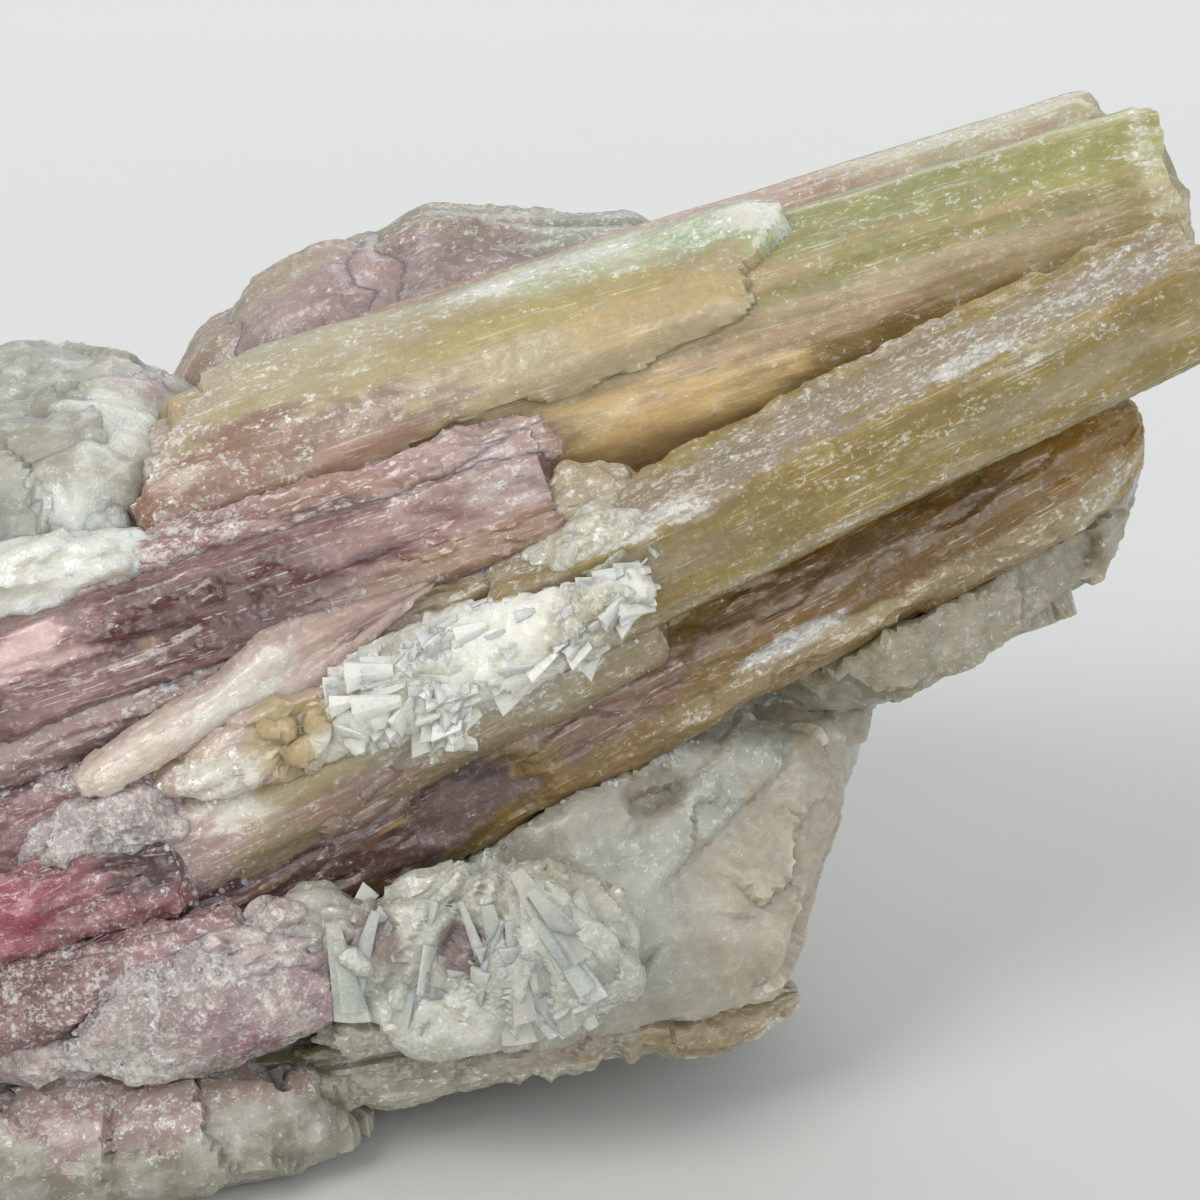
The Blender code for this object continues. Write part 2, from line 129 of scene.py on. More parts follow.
VIEW_POINT, VIEW_DISTANCE, VIEW_DOWN = Vector((0.01735, -0.01765, 0.049)), 0.42, math.radians(22)
SENSOR, LENS, NEAREST = 36, 151.2, 0.01                   # mm, mm and m
view_from = VIEW_POINT + VIEW_DISTANCE * Vector((0, -math.cos(VIEW_DOWN), math.sin(VIEW_DOWN)))
bpy.ops.object.camera_add(location=view_from, rotation=(math.radians(90) - VIEW_DOWN, 0, 0))
camera = plain_object("camera")
camera.data.sensor_width, camera.data.lens, camera.data.clip_start = SENSOR, LENS, NEAREST
bpy.context.scene.camera = camera

# ---- The green prism and its sleeve --------------------------------------------------------------
# A tourmaline prism as thick as a thumb, green on top and tan below, with fine lengthwise ridges.
# A second growth wraps its lower two thirds like a sleeve and ends in a thin scalloped rim.
DATUM = Vector((7.65, 2.65, 0.0))     # under the specimen's middle, in the mm used below


def tone(colour):
    """A colour given as 0 to 255, as the linear values that Blender keeps."""
    return tuple((part / 255) ** 2.2 for part in colour)


def skin(base, frost, *patches, **more):
    """The looks of a piece: its own colour, its frost, and the patches laid over it in turn.

    A patch is a middle, half sizes, a colour, perhaps a frost, and a share.  On a crystal its
    middle is in mm along and degrees round, on a lump it is a place in mm.
    """
    rows = [(where, size, Vector(tone(colour)), *(list(rest) + [None, 1.0][len(rest):]))
            for where, size, colour, *rest in patches]
    return dict(base=tone(base), frost=frost, patches=rows, **more)


def tint_at(colours, reach_of, inside, outside):
    """A skin's colour and frost at a place reach_of(middle, half sizes) away from each patch."""
    colour, frost = Vector(colours["base"]), colours["frost"]
    for where, size, patch_colour, patch_frost, share in colours["patches"]:
        weight = (1 - eased(reach_of(where, size), inside, outside)) * share
        if weight > 0:
            colour = colour.lerp(patch_colour, weight)
            if patch_frost is not None:
                frost += (patch_frost - frost) * weight
    return *colour, frost


def axes_of(foot, tip):
    """Up, front and along: a crystal's own axes, with its front turned to -Y."""
    along = (tip - foot).normalized()
    front = Vector((0, -1, 0))
    front = (front - front.dot(along) * along).normalized()
    return front.cross(along), front, along


def eased(value, low, high):
    """0 below low, 1 above high, and a smooth rise between them."""
    share = min(1.0, max(0.0, (value - low) / (high - low)))
    return share * share * (3 - 2 * share)


def streaky(at, across, along, shift=0.0):
    """Noise whose grains are across mm wide and along mm long, for a place (x, y, along) in mm."""
    return noise.noise(Vector((at[0] / across + shift, at[1] / across - shift, at[2] / along)))


def faceted(faces, degrees, share, round_off):
    """The radius in mm, at an angle, of a prism with faces (angle, distance at foot, at tip)."""
    total = 0.0
    for angle, foot_side, tip_side in faces:
        lean = math.cos(math.radians(degrees - angle))
        if lean > 0.15:
            total += math.exp(-(foot_side + (tip_side - foot_side) * share) / lean / round_off)
    return -round_off * math.log(total)


PROFILE_STEPS = 40                    # how finely a prism's taper is worked out


def crystal(name, foot, tip, faces, colours, sides=160, rings=130, ridge=0.04, wander=0.35,
            grain=0.05, broken=0.9, round_off=0.35, shift=1.0, shape=None, cap=9, end_round=0.55):
    """A finely modelled crystal from foot to tip, both in mm, as a sheet rolled round its axis.

    faces are its flat sides, colours its base colour, frost and patches.  ridge, wander and grain
    are the heights in mm of its lengthwise ridges, slow waves and fine grain, broken roughens both
    ends, and shape(along, angle, radius, at) may change the radius further.
    """
    foot, tip = Vector(foot) - DATUM, Vector(tip) - DATUM
    up, front, along = axes_of(foot, tip)
    length = (tip - foot).length
    girth = sum(face[1] for face in faces) / len(faces)
    rows = rings + 2 * cap
    bpy.ops.mesh.primitive_grid_add(x_subdivisions=sides, y_subdivisions=rows, size=1)
    piece = plain_object(name)
    mesh = piece.data
    start = np.empty(len(mesh.vertices) * 3)
    mesh.vertices.foreach_get("co", start)
    start = start.reshape(-1, 3)
    places, tints = np.empty_like(start), np.empty((len(start), 4))
    profile = {}
    for number, (x, y, _) in enumerate(start):
        column, row = round((x + 0.5) * sides) % sides, round((y + 0.5) * rows)
        degrees = 360 * column / sides
        turn = math.radians(degrees)
        upward, forward = math.cos(turn), math.sin(turn)
        share = min(1.0, max(0.0, (row - cap) / rings))
        reach = min(1.0, row / cap, (rows - row) / cap)
        key = (column, round(share * PROFILE_STEPS))
        if key not in profile:
            profile[key] = faceted(faces, degrees, key[1] / PROFILE_STEPS, round_off)
        radius = profile[key]
        height = share * length
        at = (upward * girth + shift * 13.7, forward * girth, height)
        radius += wander * streaky(at, 7.0, 16.0) + 0.5 * wander * streaky(at, 3.0, 8.0, 5.0)
        ribs = streaky(at, 0.75, 40.0, 2.0) + 0.6 * streaky(at, 0.34, 22.0, 4.0)
        radius += ridge * (ribs + 0.8 * abs(streaky(at, 1.9, 60.0, 6.0)) - 0.3)
        radius += grain * (noise.noise(Vector(at) * 1.7) + 0.7 * streaky(at, 0.3, 0.5, 9.0))
        if shape:
            radius = shape(height, degrees, radius, at)
        near_end = min(height, length - height)
        radius -= end_round * (1 - eased(near_end, 0.0, 1.3)) * (1 + noise.noise(Vector(at) * 0.8))
        if reach < 1 or share in (0.0, 1.0):
            inner = Vector((upward * radius * reach, forward * radius * reach, shift + share * 9))
            rough = 1.5 * noise.noise(inner * 0.22) + 0.8 * abs(noise.noise(inner * 0.6)) - 0.3
            height += broken * rough
            dome = (1 if share else -1) * 0.5 * (1 - reach * reach)
            height += 0.12 * noise.noise(inner * 2.1) + dome
        spoke = up * upward + front * forward
        places[number] = (foot + along * height + spoke * radius * reach) * MM
        wobble = 0.55 * streaky(at, 1.6, 5.0, 3.1) + 0.35 * streaky(at, 0.6, 1.8, 7.7)
        tints[number] = tint_at(colours, lambda middle, half: wobble + math.hypot(
            (height - middle[0]) / half[0],
            ((degrees - middle[1] + 180) % 360 - 180) / half[1]), 0.62, 1.18)
    mesh.vertices.foreach_set("co", places.ravel())
    tinted(mesh, tints)
    close_up(piece)
    return piece


def tinted(mesh, tints):
    """Keeps a colour and a frost for each point of a mesh, where the minerals read them."""
    tint = mesh.color_attributes.new("tint", "FLOAT_COLOR", "POINT")
    tint.data.foreach_set("color", np.ravel(tints))


def close_up(piece, smooth_angle=38):
    """Merges a piece's doubles at seams and poles, turns its faces out, and shades it smoothly."""
    bpy.ops.object.select_all(action="DESELECT")
    piece.select_set(True)
    bpy.context.view_layer.objects.active = piece
    bpy.ops.object.mode_set(mode="EDIT")
    bpy.ops.mesh.select_all(action="SELECT")
    bpy.ops.mesh.remove_doubles(threshold=0.00001)
    bpy.ops.mesh.normals_make_consistent(inside=False)
    bpy.ops.object.mode_set(mode="OBJECT")
    bpy.ops.object.shade_smooth_by_angle(angle=math.radians(smooth_angle))
    piece.select_set(False)


class Shading:
    """The nodes of one material.  Each method adds a node, and most give back its result."""

    def __init__(self, tree):
        self.tree = tree

    def node(self, kind, sockets=None, **props):
        """A node with its properties, and its sockets either set or linked."""
        made = self.tree.nodes.new("ShaderNode" + kind)
        for prop, value in props.items():
            setattr(made, prop, value)
        for socket, value in (sockets or {}).items():
            if isinstance(value, bpy.types.NodeSocket):
                self.tree.links.new(value, made.inputs[socket])
            else:
                made.inputs[socket].default_value = value
        return made

    def math(self, operation, *values):
        return self.node("Math", dict(enumerate(values)), operation=operation).outputs[0]

    def plus(self, first, second):
        return self.math("ADD", first, second)

    def times(self, first, second):
        return self.math("MULTIPLY", first, second)

    def vector(self, operation, sockets):
        return self.node("VectorMath", sockets, operation=operation).outputs[0]

    def between(self, value, low, high, to_low=0.0, to_high=1.0):
        """value mapped from low..high to to_low..to_high, and held there beyond."""
        return self.node("MapRange", {0: value, 1: low, 2: high, 3: to_low, 4: to_high}).outputs[0]

    def blended(self, factor, first, second):
        """Two colours mixed by a factor."""
        return self.node("Mix", {0: factor, 6: first, 7: second}, data_type="RGBA").outputs[2]


WHITE_FROST = (0.78, 0.76, 0.70, 1)
BLACK_SPECK = (0.035, 0.03, 0.02, 1)
# The near white that the tiny cleaved faces are painted: a painted glint, as well as the tint of
# their metal-like reflection.
MIRROR_AND_PAINTED_GLINT = (0.9, 0.9, 0.88, 1)


def mineral(name, foot, tip, streaks=0.05, mottle=0.13, frost=(0.54, 0.74), cover=0.58,
            veil=WHITE_FROST, rough=0.31, depth=2.4, glow=0.6, relief=0.07, glint=0.32,
            specks=0.3, grit=2.4, drawn=1.0, lines=0.5, fibrous=0.3):
    """A translucent, slightly grainy mineral, with a little streaking along the crystal.

    The mesh's tint gives its colour, and its alpha how frosted it is.  streaks and mottle are how
    much the colour varies, cover how far frost hides it, depth in mm how far light goes in,
    relief in mm the height of its fine grain, glint how far its tiny cleaved faces tip, drawn how
    long its streaks are, and lines how clear the thin white scratches along it are.
    """
    up, front, along = axes_of(Vector(foot), Vector(tip))
    turn = Matrix((along, front, up)).transposed().to_euler()
    made, tree, shader = shader_of(name, rough)
    mix = Shading(tree)
    spot = mix.node("TexCoord").outputs["Object"]
    tint = mix.node("Attribute", attribute_name="tint")

    def grains(long, wide, detail=4, rough=0.6, shift=0.0):
        size = (max(long * drawn, wide) * MM, wide * MM, wide * MM)
        place = mix.node("Mapping", {0: spot, 1: (shift, 0, 0), 2: turn, 3: size},
                         vector_type="TEXTURE")
        return mix.node("TexNoise", {"Vector": place.outputs[0], "Scale": 1.0, "Detail": detail,
                                     "Roughness": rough}).outputs[0]

    fibres, clouds = grains(8.0, 0.45), grains(5.5, 3.2, 4, 0.6, 0.7)
    blots, fine = grains(1.9, 1.1, 4, 0.65, 0.3), grains(0.5, 0.36, 3, 0.65, 1.1)
    hairs = grains(7.0, 0.16, 2, 0.5, 1.7)
    in_mm = mix.node("Mapping", {0: spot, 3: (1 / MM,) * 3}).outputs[0]
    cells = mix.node("TexVoronoi", {"Vector": in_mm, "Scale": grit}).outputs
    wide_cells = mix.node("TexVoronoi", {"Vector": in_mm, "Scale": 0.36}).outputs
    # colour: streaks, clouds, white frost, thin scratches and black specks
    light = mix.plus(mix.between(fibres, 0.3, 0.7, -streaks, streaks),
                     mix.between(blots, 0.3, 0.7, -0.7 * mottle, 0.7 * mottle))
    light = mix.plus(light, mix.between(clouds, 0.3, 0.7, 1 - mottle, 1 + mottle))
    colour = mix.vector("SCALE", {0: tint.outputs["Color"], "Scale": light})
    frosted = mix.plus(tint.outputs["Alpha"], mix.between(blots, 0.25, 0.75, -0.34, 0.34))
    frosted = mix.plus(frosted, mix.between(fine, 0.25, 0.75, -0.40, 0.40))
    frosted = mix.between(frosted, *frost)
    colour = mix.blended(mix.times(frosted, cover), colour, veil)
    scratched = mix.times(mix.between(hairs, 0.60, 0.68, 0.0, lines),
                          mix.between(clouds, 0.42, 0.56))
    colour = mix.blended(scratched, colour, veil)
    dots = mix.math("LESS_THAN", wide_cells["Distance"], 0.055)
    rare = mix.between(clouds, 0.52, 0.56, 0.0, specks)
    colour = mix.blended(mix.times(dots, rare), colour, BLACK_SPECK)
    # finish: waxy faces, rougher frost, and tiny cleaved faces that catch the light; these are
    # smoother and partly metal-like, and their colour is also painted near white as a painted glint
    hue = mix.node("SeparateColor", {0: cells["Color"]})
    sparkle = mix.math("GREATER_THAN", hue.outputs[0], 0.84)
    mirror_and_painted_glint = mix.times(mix.times(sparkle, mix.plus(frosted, 0.1)), 0.75)
    tree.links.new(mix.times(mirror_and_painted_glint, 0.35), shader.inputs["Metallic"])
    gloss = mix.plus(mix.between(fine, 0.3, 0.7, rough - 0.08, rough + 0.08),
                     mix.times(frosted, 0.12))
    gloss = mix.math("SUBTRACT", gloss, mix.times(sparkle, 0.16))
    tree.links.new(gloss, shader.inputs["Roughness"])
    tree.links.new(mix.blended(mirror_and_painted_glint, colour, MIRROR_AND_PAINTED_GLINT), shader.inputs["Base Color"])
    tip_by = mix.vector("SUBTRACT", {0: cells["Color"], 1: (0.5, 0.5, 0.5)})
    amount = mix.times(mix.plus(frosted, 0.12), glint)
    amount = mix.times(amount, mix.plus(mix.times(sparkle, 1.8), 0.8))
    tip_by = mix.vector("SCALE", {0: tip_by, "Scale": amount})
    facing = mix.vector("ADD", {0: mix.node("NewGeometry").outputs["Normal"], 1: tip_by})
    facing = mix.vector("NORMALIZE", {0: facing})
    height = mix.plus(mix.times(fibres, fibrous), mix.times(fine, 0.6))
    height = mix.plus(height, mix.times(blots, 1.2))
    height = mix.plus(height, mix.times(frosted, 0.5))
    bump = mix.node("Bump", {"Strength": 0.8, "Distance": relief * MM, "Height": height,
                             "Normal": facing})
    tree.links.new(bump.outputs[0], shader.inputs["Normal"])
    for socket, value in {"Subsurface Weight": glow, "Subsurface Scale": depth * MM,
                          "Subsurface Radius": (1.0, 0.82, 0.66), "IOR": 1.62,
                          "Coat Weight": 0.25, "Coat Roughness": 0.12}.items():
        shader.inputs[socket].default_value = value
    return made


def finish_piece(piece, material, slot, *nodes):
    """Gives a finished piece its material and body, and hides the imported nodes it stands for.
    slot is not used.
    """
    piece.data.materials.clear()
    piece.data.materials.append(material)
    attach(piece, "root")
    if nodes:
        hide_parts(*nodes)


UPPER = ((-9.5, 1, 51.4), (74, 9.1, 76.6))
upper_colours = skin(
    (176, 156, 118), 0.34,
    ((70, -34), (46, 84), (163, 157, 104), 0.36),               # green skin on top
    ((66, 20), (24, 20), (148, 148, 98), 0.4, 0.8),
    ((82, 22), (12, 34), (162, 158, 98), 0.4, 0.9),
    ((66, 57), (30, 7), (138, 132, 74), None, 0.8),             # a darker line under it
    ((52, 88), (16, 18), (170, 142, 106), None, 0.7),
    # painted shade: this darker brown is partly the crystal's own colour and partly the shade where
    # it meets the front prism
    ((68, 104), (26, 16), (139, 114, 64), None, 0.9),
    ((40, 112), (13, 34), (218, 188, 134), None, 0.9),          # painted light: the shaded recess under the sleeve is lifted to a pale peach
    ((86, 70), (1.6, 70), (196, 192, 152), 0.6, 0.7),
    ((80, 200), (40, 70), (170, 146, 120)))
upper_faces = [(-18, 9.6, 8.3), (30, 9.3, 7.8), (84, 9.4, 7.9), (122, 10.1, 8.4),
               (162, 10.4, 8.5), (205, 10.1, 8.3), (250, 9.6, 8.1), (296, 9.6, 8.2)]
green_prism = crystal("green_prism", *UPPER, upper_faces, upper_colours, sides=180, rings=140,
                      ridge=0.05, shift=3)
green_and_tan = mineral("green_and_tan", *UPPER, specks=0.7, fibrous=0.6)
finish_piece(green_prism, green_and_tan, "green_tourmaline", "upper_prism")

SLEEVE_START, SLEEVE_END = (-13.5, 0.6, 50.2), (44.5, 6.3, 67.75)
SLEEVE_LIE = (39.4, 5.8, 66.2)        # its streaks run from its start towards here
SLEEVE_WALL = 2.6                     # mm that the skin tucks under its rim
SLEEVE_SIDE = 0.19                    # mm to a degree round the sleeve
# The rim and the foot are (degrees round, mm along), the hem is (mm along, degrees round).
SLEEVE_RIM = [(-75, 52), (-40, 57.5), (0, 59.8), (18, 59.4), (30, 57.2), (40, 54.8),
              (50, 54.6), (57, 55.4), (63, 54.4), (68, 52.4)]
SLEEVE_FOOT = [(-80, 9), (-20, 8), (10, 7), (40, 2.5), (60, 0), (75, -2)]
SLEEVE_HEM = [(-4, 94), (4, 90), (13, 85), (20.6, 80), (27, 74), (33, 71.5), (35.5, 78),
              (43, 74.5), (49.5, 70), (52.6, 66)]


def on_line(stops, place):
    """The value at a place between (place, value) stops."""
    return float(np.interp(place, *zip(*stops)))


def sleeve_skin(height, degrees, radius, at):
    """Lowers the skin where the sleeve has broken away."""
    side = (degrees + 180) % 360 - 180
    foot = height - on_line(SLEEVE_FOOT, side)
    rim = on_line(SLEEVE_RIM, side) - height
    hem = (on_line(SLEEVE_HEM, height) - side) * SLEEVE_SIDE
    back = (side + 88) * SLEEVE_SIDE
    ragged = 0.6 * streaky(at, 2.2, 2.8, 4.4)
    inside = min(rim, hem, back, foot * 0.6) + ragged + 0.12 * streaky(at, 0.8, 1.0, 2.2)
    thin = 0.7 * (1 - eased(inside, 0.0, 3.5))
    return radius - thin - SLEEVE_WALL * (1 - eased(inside, -0.15, 0.25))


sleeve_colours = skin(
    (176, 160, 124), 0.34,
    ((45, 2), (19, 26), (186, 188, 152), 0.5),
    ((54, 16), (7, 14), (176, 190, 150), 0.6),
    ((47, 48), (9, 14), (188, 166, 118), 0.16, 0.8),
    ((36, 34), (14, 10), (176, 160, 104), 0.3, 0.8),
    ((34, 4), (6, 9), (208, 206, 186), 0.95, 0.8),
    ((43, -2), (5, 8), (206, 208, 186), 0.95, 0.8),
    ((57, 10), (3, 12), (206, 206, 184), 0.95, 0.8),
    ((16, 10), (14, 30), (184, 172, 140), 0.45),
    ((14, 62), (15, 24), (150, 125, 106), 0.5),
    ((4, 64), (12, 26), (145, 112, 92), 0.44),
    ((20, 72), (6, 8), (166, 132, 114), 0.08, 0.8),
    ((6, 82), (9, 9), (158, 124, 110), 0.05, 0.8),
    ((1, 30), (6, 30), (180, 160, 140), 0.62),
    ((25, 300), (40, 44), (184, 180, 158), 0.4))
sleeve_faces = [(-80, 10.4, 9.6), (-40, 11.4, 10.6), (0, 11.5, 10.8), (36, 11.2, 10.8),
                (68, 11.2, 10.8), (100, 10.6, 9.8), (180, 9, 8), (240, 9, 8)]
sleeve = crystal("upper_sleeve", SLEEVE_START, SLEEVE_END, sleeve_faces, sleeve_colours, sides=170,
                 ridge=0.03, wander=0.6, grain=0.06, shift=8, shape=sleeve_skin,
                 broken=1.2, round_off=0.9)
sleeve_paint = mineral("waxy_sleeve", SLEEVE_START, SLEEVE_LIE, mottle=0.10, relief=0.06, depth=3.2)
finish_piece(sleeve, sleeve_paint, "green_tourmaline")

# ---- The thin prism along the back ---------------------------------------------------------------
# A thinner peach prism, grown against the back of the green one and just seen over its edge.
BACK_TOP = ((4, 17.4, 57.8), (68.9, 22.6, 78.4))
back_top_colours = skin(
    (176, 148, 128), 0.38,
    ((60, 0), (18, 60), (184, 176, 144), 0.5),
    ((30, 320), (26, 30), (178, 140, 128), 0.3, 0.7),
    ((40, 200), (30, 60), (184, 168, 140), 0.4))
back_top_faces = [(10, 4.5, 3.8), (70, 4.3, 3.6), (130, 4.7, 4.1), (190, 5.0, 4.4),
                  (250, 4.6, 3.9), (310, 4.5, 3.8)]
peach_prism = crystal("peach_prism", *BACK_TOP, back_top_faces, back_top_colours, sides=90,
                      rings=90, ridge=0.06, wander=0.3, shift=5, cap=6)
finish_piece(peach_prism, mineral("peach_tourmaline", *BACK_TOP), "peach_tourmaline",
             "back_top_prism")

# ---- The front prism -----------------------------------------------------------------------------
# It shows a frosted lilac-grey face upwards and a honey-coloured one forwards, with a crisp ridge
# between them.  Rows of tiny cleaved steps on the upper face catch the light.
FRONT = ((17, -13.9, 47.1), (75.4, -6.8, 74.6))
front_faces = [(19, 5.25, 5.2), (104, 5.25, 5.2), (150, 6.3, 6.2), (192, 5.6, 5.5),
               (236, 5.9, 5.8), (284, 5.8, 5.7), (330, 5.9, 5.7)]
front_colours = skin(
    (148, 128, 72), 0.34,
    ((32, 26), (60, 34), (156, 140, 113), 0.48),
    ((22, 40), (14, 22), (155, 139, 120), 0.52),
    ((44, 46), (5, 12), (186, 182, 170), 0.84, 0.8),
    ((13, 54), (6, 13), (188, 182, 170), 0.86, 0.8),
    ((57, 32), (10, 22), (160, 146, 124), 0.54),
    ((32, 84), (12, 16), (148, 125, 59), 0.48, 0.9),
    ((44, 92), (7, 10), (148, 130, 62), 0.5, 0.8),
    ((52, 104), (12, 18), (164, 149, 113), 0.3, 0.95),
    ((15, 96), (9, 22), (150, 132, 98), 0.16, 0.9),
    ((6, 84), (9, 24), (158, 142, 122), 0.42),
    ((24, 140), (26, 9), (160, 146, 112), 0.5, 0.8),
    ((64, 90), (2, 80), (160, 140, 98), 0.35, 0.9),
    ((50, 66), (7, 12), (164, 151, 120), 0.5, 0.8))


def front_steps(height, degrees, radius, at):
    """Flakes the front prism's border along the green one, and chips its ridge."""
    side = (degrees + 180) % 360 - 180
    flake = eased(streaky(at, 2.4, 5.5, 1.9), 0.02, 0.3) * (1 - eased(abs(side + 18), 6, 20))
    flake += 0.35 * eased(streaky(at, 1.0, 1.4, 5.9), 0.1, 0.3) * (1 - eased(abs(side + 14), 6, 16))
    chip = eased(streaky(at, 1.4, 3.0, 6.1), 0.12, 0.34) * (1 - eased(abs(side - 62), 3, 9))
    lip = eased(streaky(at, 1.6, 5.0, 8.8), 0.0, 0.3) * (1 - eased(abs(side - 143), 3, 12))
    return radius + 0.6 * flake - 0.42 * chip - 0.5 * lip


honey_prism = crystal("honey_prism", *FRONT, front_faces, front_colours, sides=170, rings=140,
                      ridge=0.05, wander=0.28, grain=0.10, shift=7, shape=front_steps,
                      round_off=0.16)
honey_paint = mineral("honey_tourmaline", *FRONT, mottle=0.15, relief=0.10, glint=0.55,
                      fibrous=0.7, grit=2.8)
finish_piece(honey_prism, honey_paint, "tan_tourmaline", "front_prism")

# ---- The lower prism -----------------------------------------------------------------------------
# The longest crystal runs under all the others.  It is tan, its upper front painted brown as
# the shade of the front prism over it, with a rounded honey tip, and near its left end a clear
# mauve cleavage face lies flat between white blades.
LOWER = ((-16, -19.3, 17.5), (70.2, 1, 59.6))
lower_faces = [(0, 5.5, 5.9), (48, 5.4, 5.9), (92, 5.5, 6.2), (132, 5.9, 6.5),
               (180, 5.5, 6.1), (228, 5.5, 6.1), (270, 5.4, 6), (315, 5.5, 5.9)]
FACE_ANGLE, FACE_HEIGHT = 90, 4.7     # degrees round and mm out, where the flat mauve face lies
lower_colours = skin(
    (135, 109, 64), 0.24,
    # painted shade: this brown band darkens the tan crystal where the front prism shades it
    ((74, 90), (18, 60), (117, 87, 36), 0.2),
    ((95, 70), (7, 110), (139, 105, 39), 0.24),
    ((91, 130), (8, 26), (172, 158, 124), 0.56),
    ((80, 122), (14, 18), (156, 136, 98), 0.5, 0.8),
    ((64, 106), (6, 13), (178, 173, 170), 0.7, 0.9),
    ((70, 116), (8, 9), (176, 158, 118), 0.5, 0.8),
    ((56, 120), (9, 14), (160, 138, 98), 0.46),
    # painted shade: these two browns darken it under the front prism as well
    ((66, 66), (18, 20), (122, 98, 70), 0.14, 0.9),
    ((47, 70), (9, 40), (130, 102, 84), 0.14),
    ((33, 82), (5.6, 44), (72, 44, 44), 0),
    ((30, 104), (9, 26), (118, 98, 92), 0.3),
    # painted shade: dark mauve on the left end, where it lies in the cavity under the short tan
    # prism
    ((20, 86), (8, 60), (98, 72, 68), 0.3),
    ((8, 80), (9, 90), (130, 100, 102), 0.4))


def lower_face(height, degrees, radius, at):
    """Cuts the flat mauve face, and thins the tip to a rounded end."""
    side = abs((degrees - FACE_ANGLE + 180) % 360 - 180)
    flat = 1 - eased(math.hypot((height - 33) / 6.0, side / 40), 0.8, 1.05)
    level = FACE_HEIGHT / max(0.3, math.cos(math.radians(side)))
    radius += (min(level, radius) - radius) * flat
    step = eased(streaky(at, 1.5, 5.0, 2.8), 0.05, 0.22)
    return radius - 0.45 * step * (1 - flat) - 3.2 * eased(height, 86, 99.5) ** 3


shaded_tan_prism = crystal("shaded_tan_prism", *LOWER, lower_faces, lower_colours, rings=180,
                      wander=0.5, grain=0.08, shift=11, shape=lower_face, round_off=0.4)
finish_piece(shaded_tan_prism, mineral("tan_tourmaline_painted_shade", *LOWER, mottle=0.18, relief=0.09),
             "brown_tourmaline", "lower_prism")

# ---- The short tan prism -------------------------------------------------------------------------
# A short yellowish prism lies under the upper white blades, with a peach foot.
TAN = ((-12.5, -20.6, 28.2), (29.5, -9.8, 45.6))
tan_colours = skin(
    (156, 140, 110), 0.36,
    ((3, 70), (7, 80), (168, 142, 132), 0.5),
    ((9, 60), (5, 30), (220, 211, 192), 0.8, 0.9),
    ((17, 60), (7, 34), (168, 150, 104), 0.2, 0.9),
    ((20, 104), (12, 20), (150, 122, 108), 0.34),
    ((32, 60), (14, 60), (172, 162, 138), 0.6))
tan_faces = [(0, 4.5, 4.5), (45, 4.4, 4.4), (90, 4.5, 4.5), (135, 4.8, 4.8), (190, 4.7, 4.7),
             (250, 4.6, 4.6), (305, 4.5, 4.5)]
short_prism = crystal("short_tan_prism", *TAN, tan_faces, tan_colours, sides=100, rings=90,
                      ridge=0.05, wander=0.5, grain=0.08, shift=13, cap=6)
tan_paint = mineral("tan_prisms", *TAN, relief=0.09)
finish_piece(short_prism, tan_paint, "tan_tourmaline", "tan_prism")

# ---- Rubellite columns ---------------------------------------------------------------------------
# Pink columns grown side by side and broken off together in a pale ragged end.  Their sides are
# glassy where they cleaved and frosted white along the joints.


def column_group(name, rows, skins, seed, sides, rings, wander=0.5, shape=None):
    """Columns (foot, tip, radius at the foot, radius at the tip) grown together as one piece."""
    members = []
    for number, ((foot, tip, *radii), colours) in enumerate(zip(rows, skins)):
        across = colours.get("sides", [(23 * number + lean, size) for lean, size in SIX_SIDES])
        faces = [(lean, radii[0] * size, radii[1] * size) for lean, size in across]
        members.append(crystal(f"{name}_{number}", foot, tip, faces, colours, cap=5, ridge=0.03,
                               sides=sides[number], rings=rings, end_round=0.2, wander=wander,
                               grain=colours.get("grain", 0.09), broken=1.1, round_off=0.22,
                               shift=seed + 3 * number, shape=colours.get("shape", shape)))
    bpy.ops.object.select_all(action="DESELECT")
    for member in members:
        member.select_set(True)
    bpy.context.view_layer.objects.active = members[0]
    bpy.ops.object.join()
    return plain_object(name)


SIX_SIDES = ((0, 1.02), (52, 1.06), (96, 1), (150, 1.08), (205, 1.04), (262, 1), (312, 1.05))
BROAD_FRONT = ((72, 0.86), (138, 1.1), (190, 1.1), (240, 1.1), (310, 1.1), (6, 1.06))


def cleaved(at, size, tilt, drop=0.0):
    """The height of flat tilted facets about size mm across, for a place in mm."""
    points = noise.voronoi(Vector(at) / size)[1]
    turn = noise.noise_vector(points[0] * 3.7)
    slope = turn.dot(Vector(at) / size - points[0])
    return size * tilt * slope * 2 + drop * noise.noise(points[0] * 5.1)


def split_off(height, degrees, radius, at):
    """Broad shallow steps where plates have split off, and a few grains left on them."""
    plate = eased(streaky(at, 4.2, 20.0, 12.0), 0.12, 0.20)
    grains = eased(streaky(at, 0.9, 1.5, 15.0), 0.10, 0.34)
    grains *= eased(streaky(at, 4.0, 8.0, 18.0), 0.0, 0.2)
    return radius - 0.4 * plate + 0.35 * grains


def crumbly(height, degrees, radius, at):
    """A surface of broken grains, 1 to 3 mm across."""
    grains = 0.6 * streaky(at, 1.8, 2.2, 21.0) + 0.5 * abs(streaky(at, 0.8, 0.9, 24.0))
    return radius + grains - 0.6 * eased(streaky(at, 4.5, 8.0, 27.0), 0.10, 0.3)


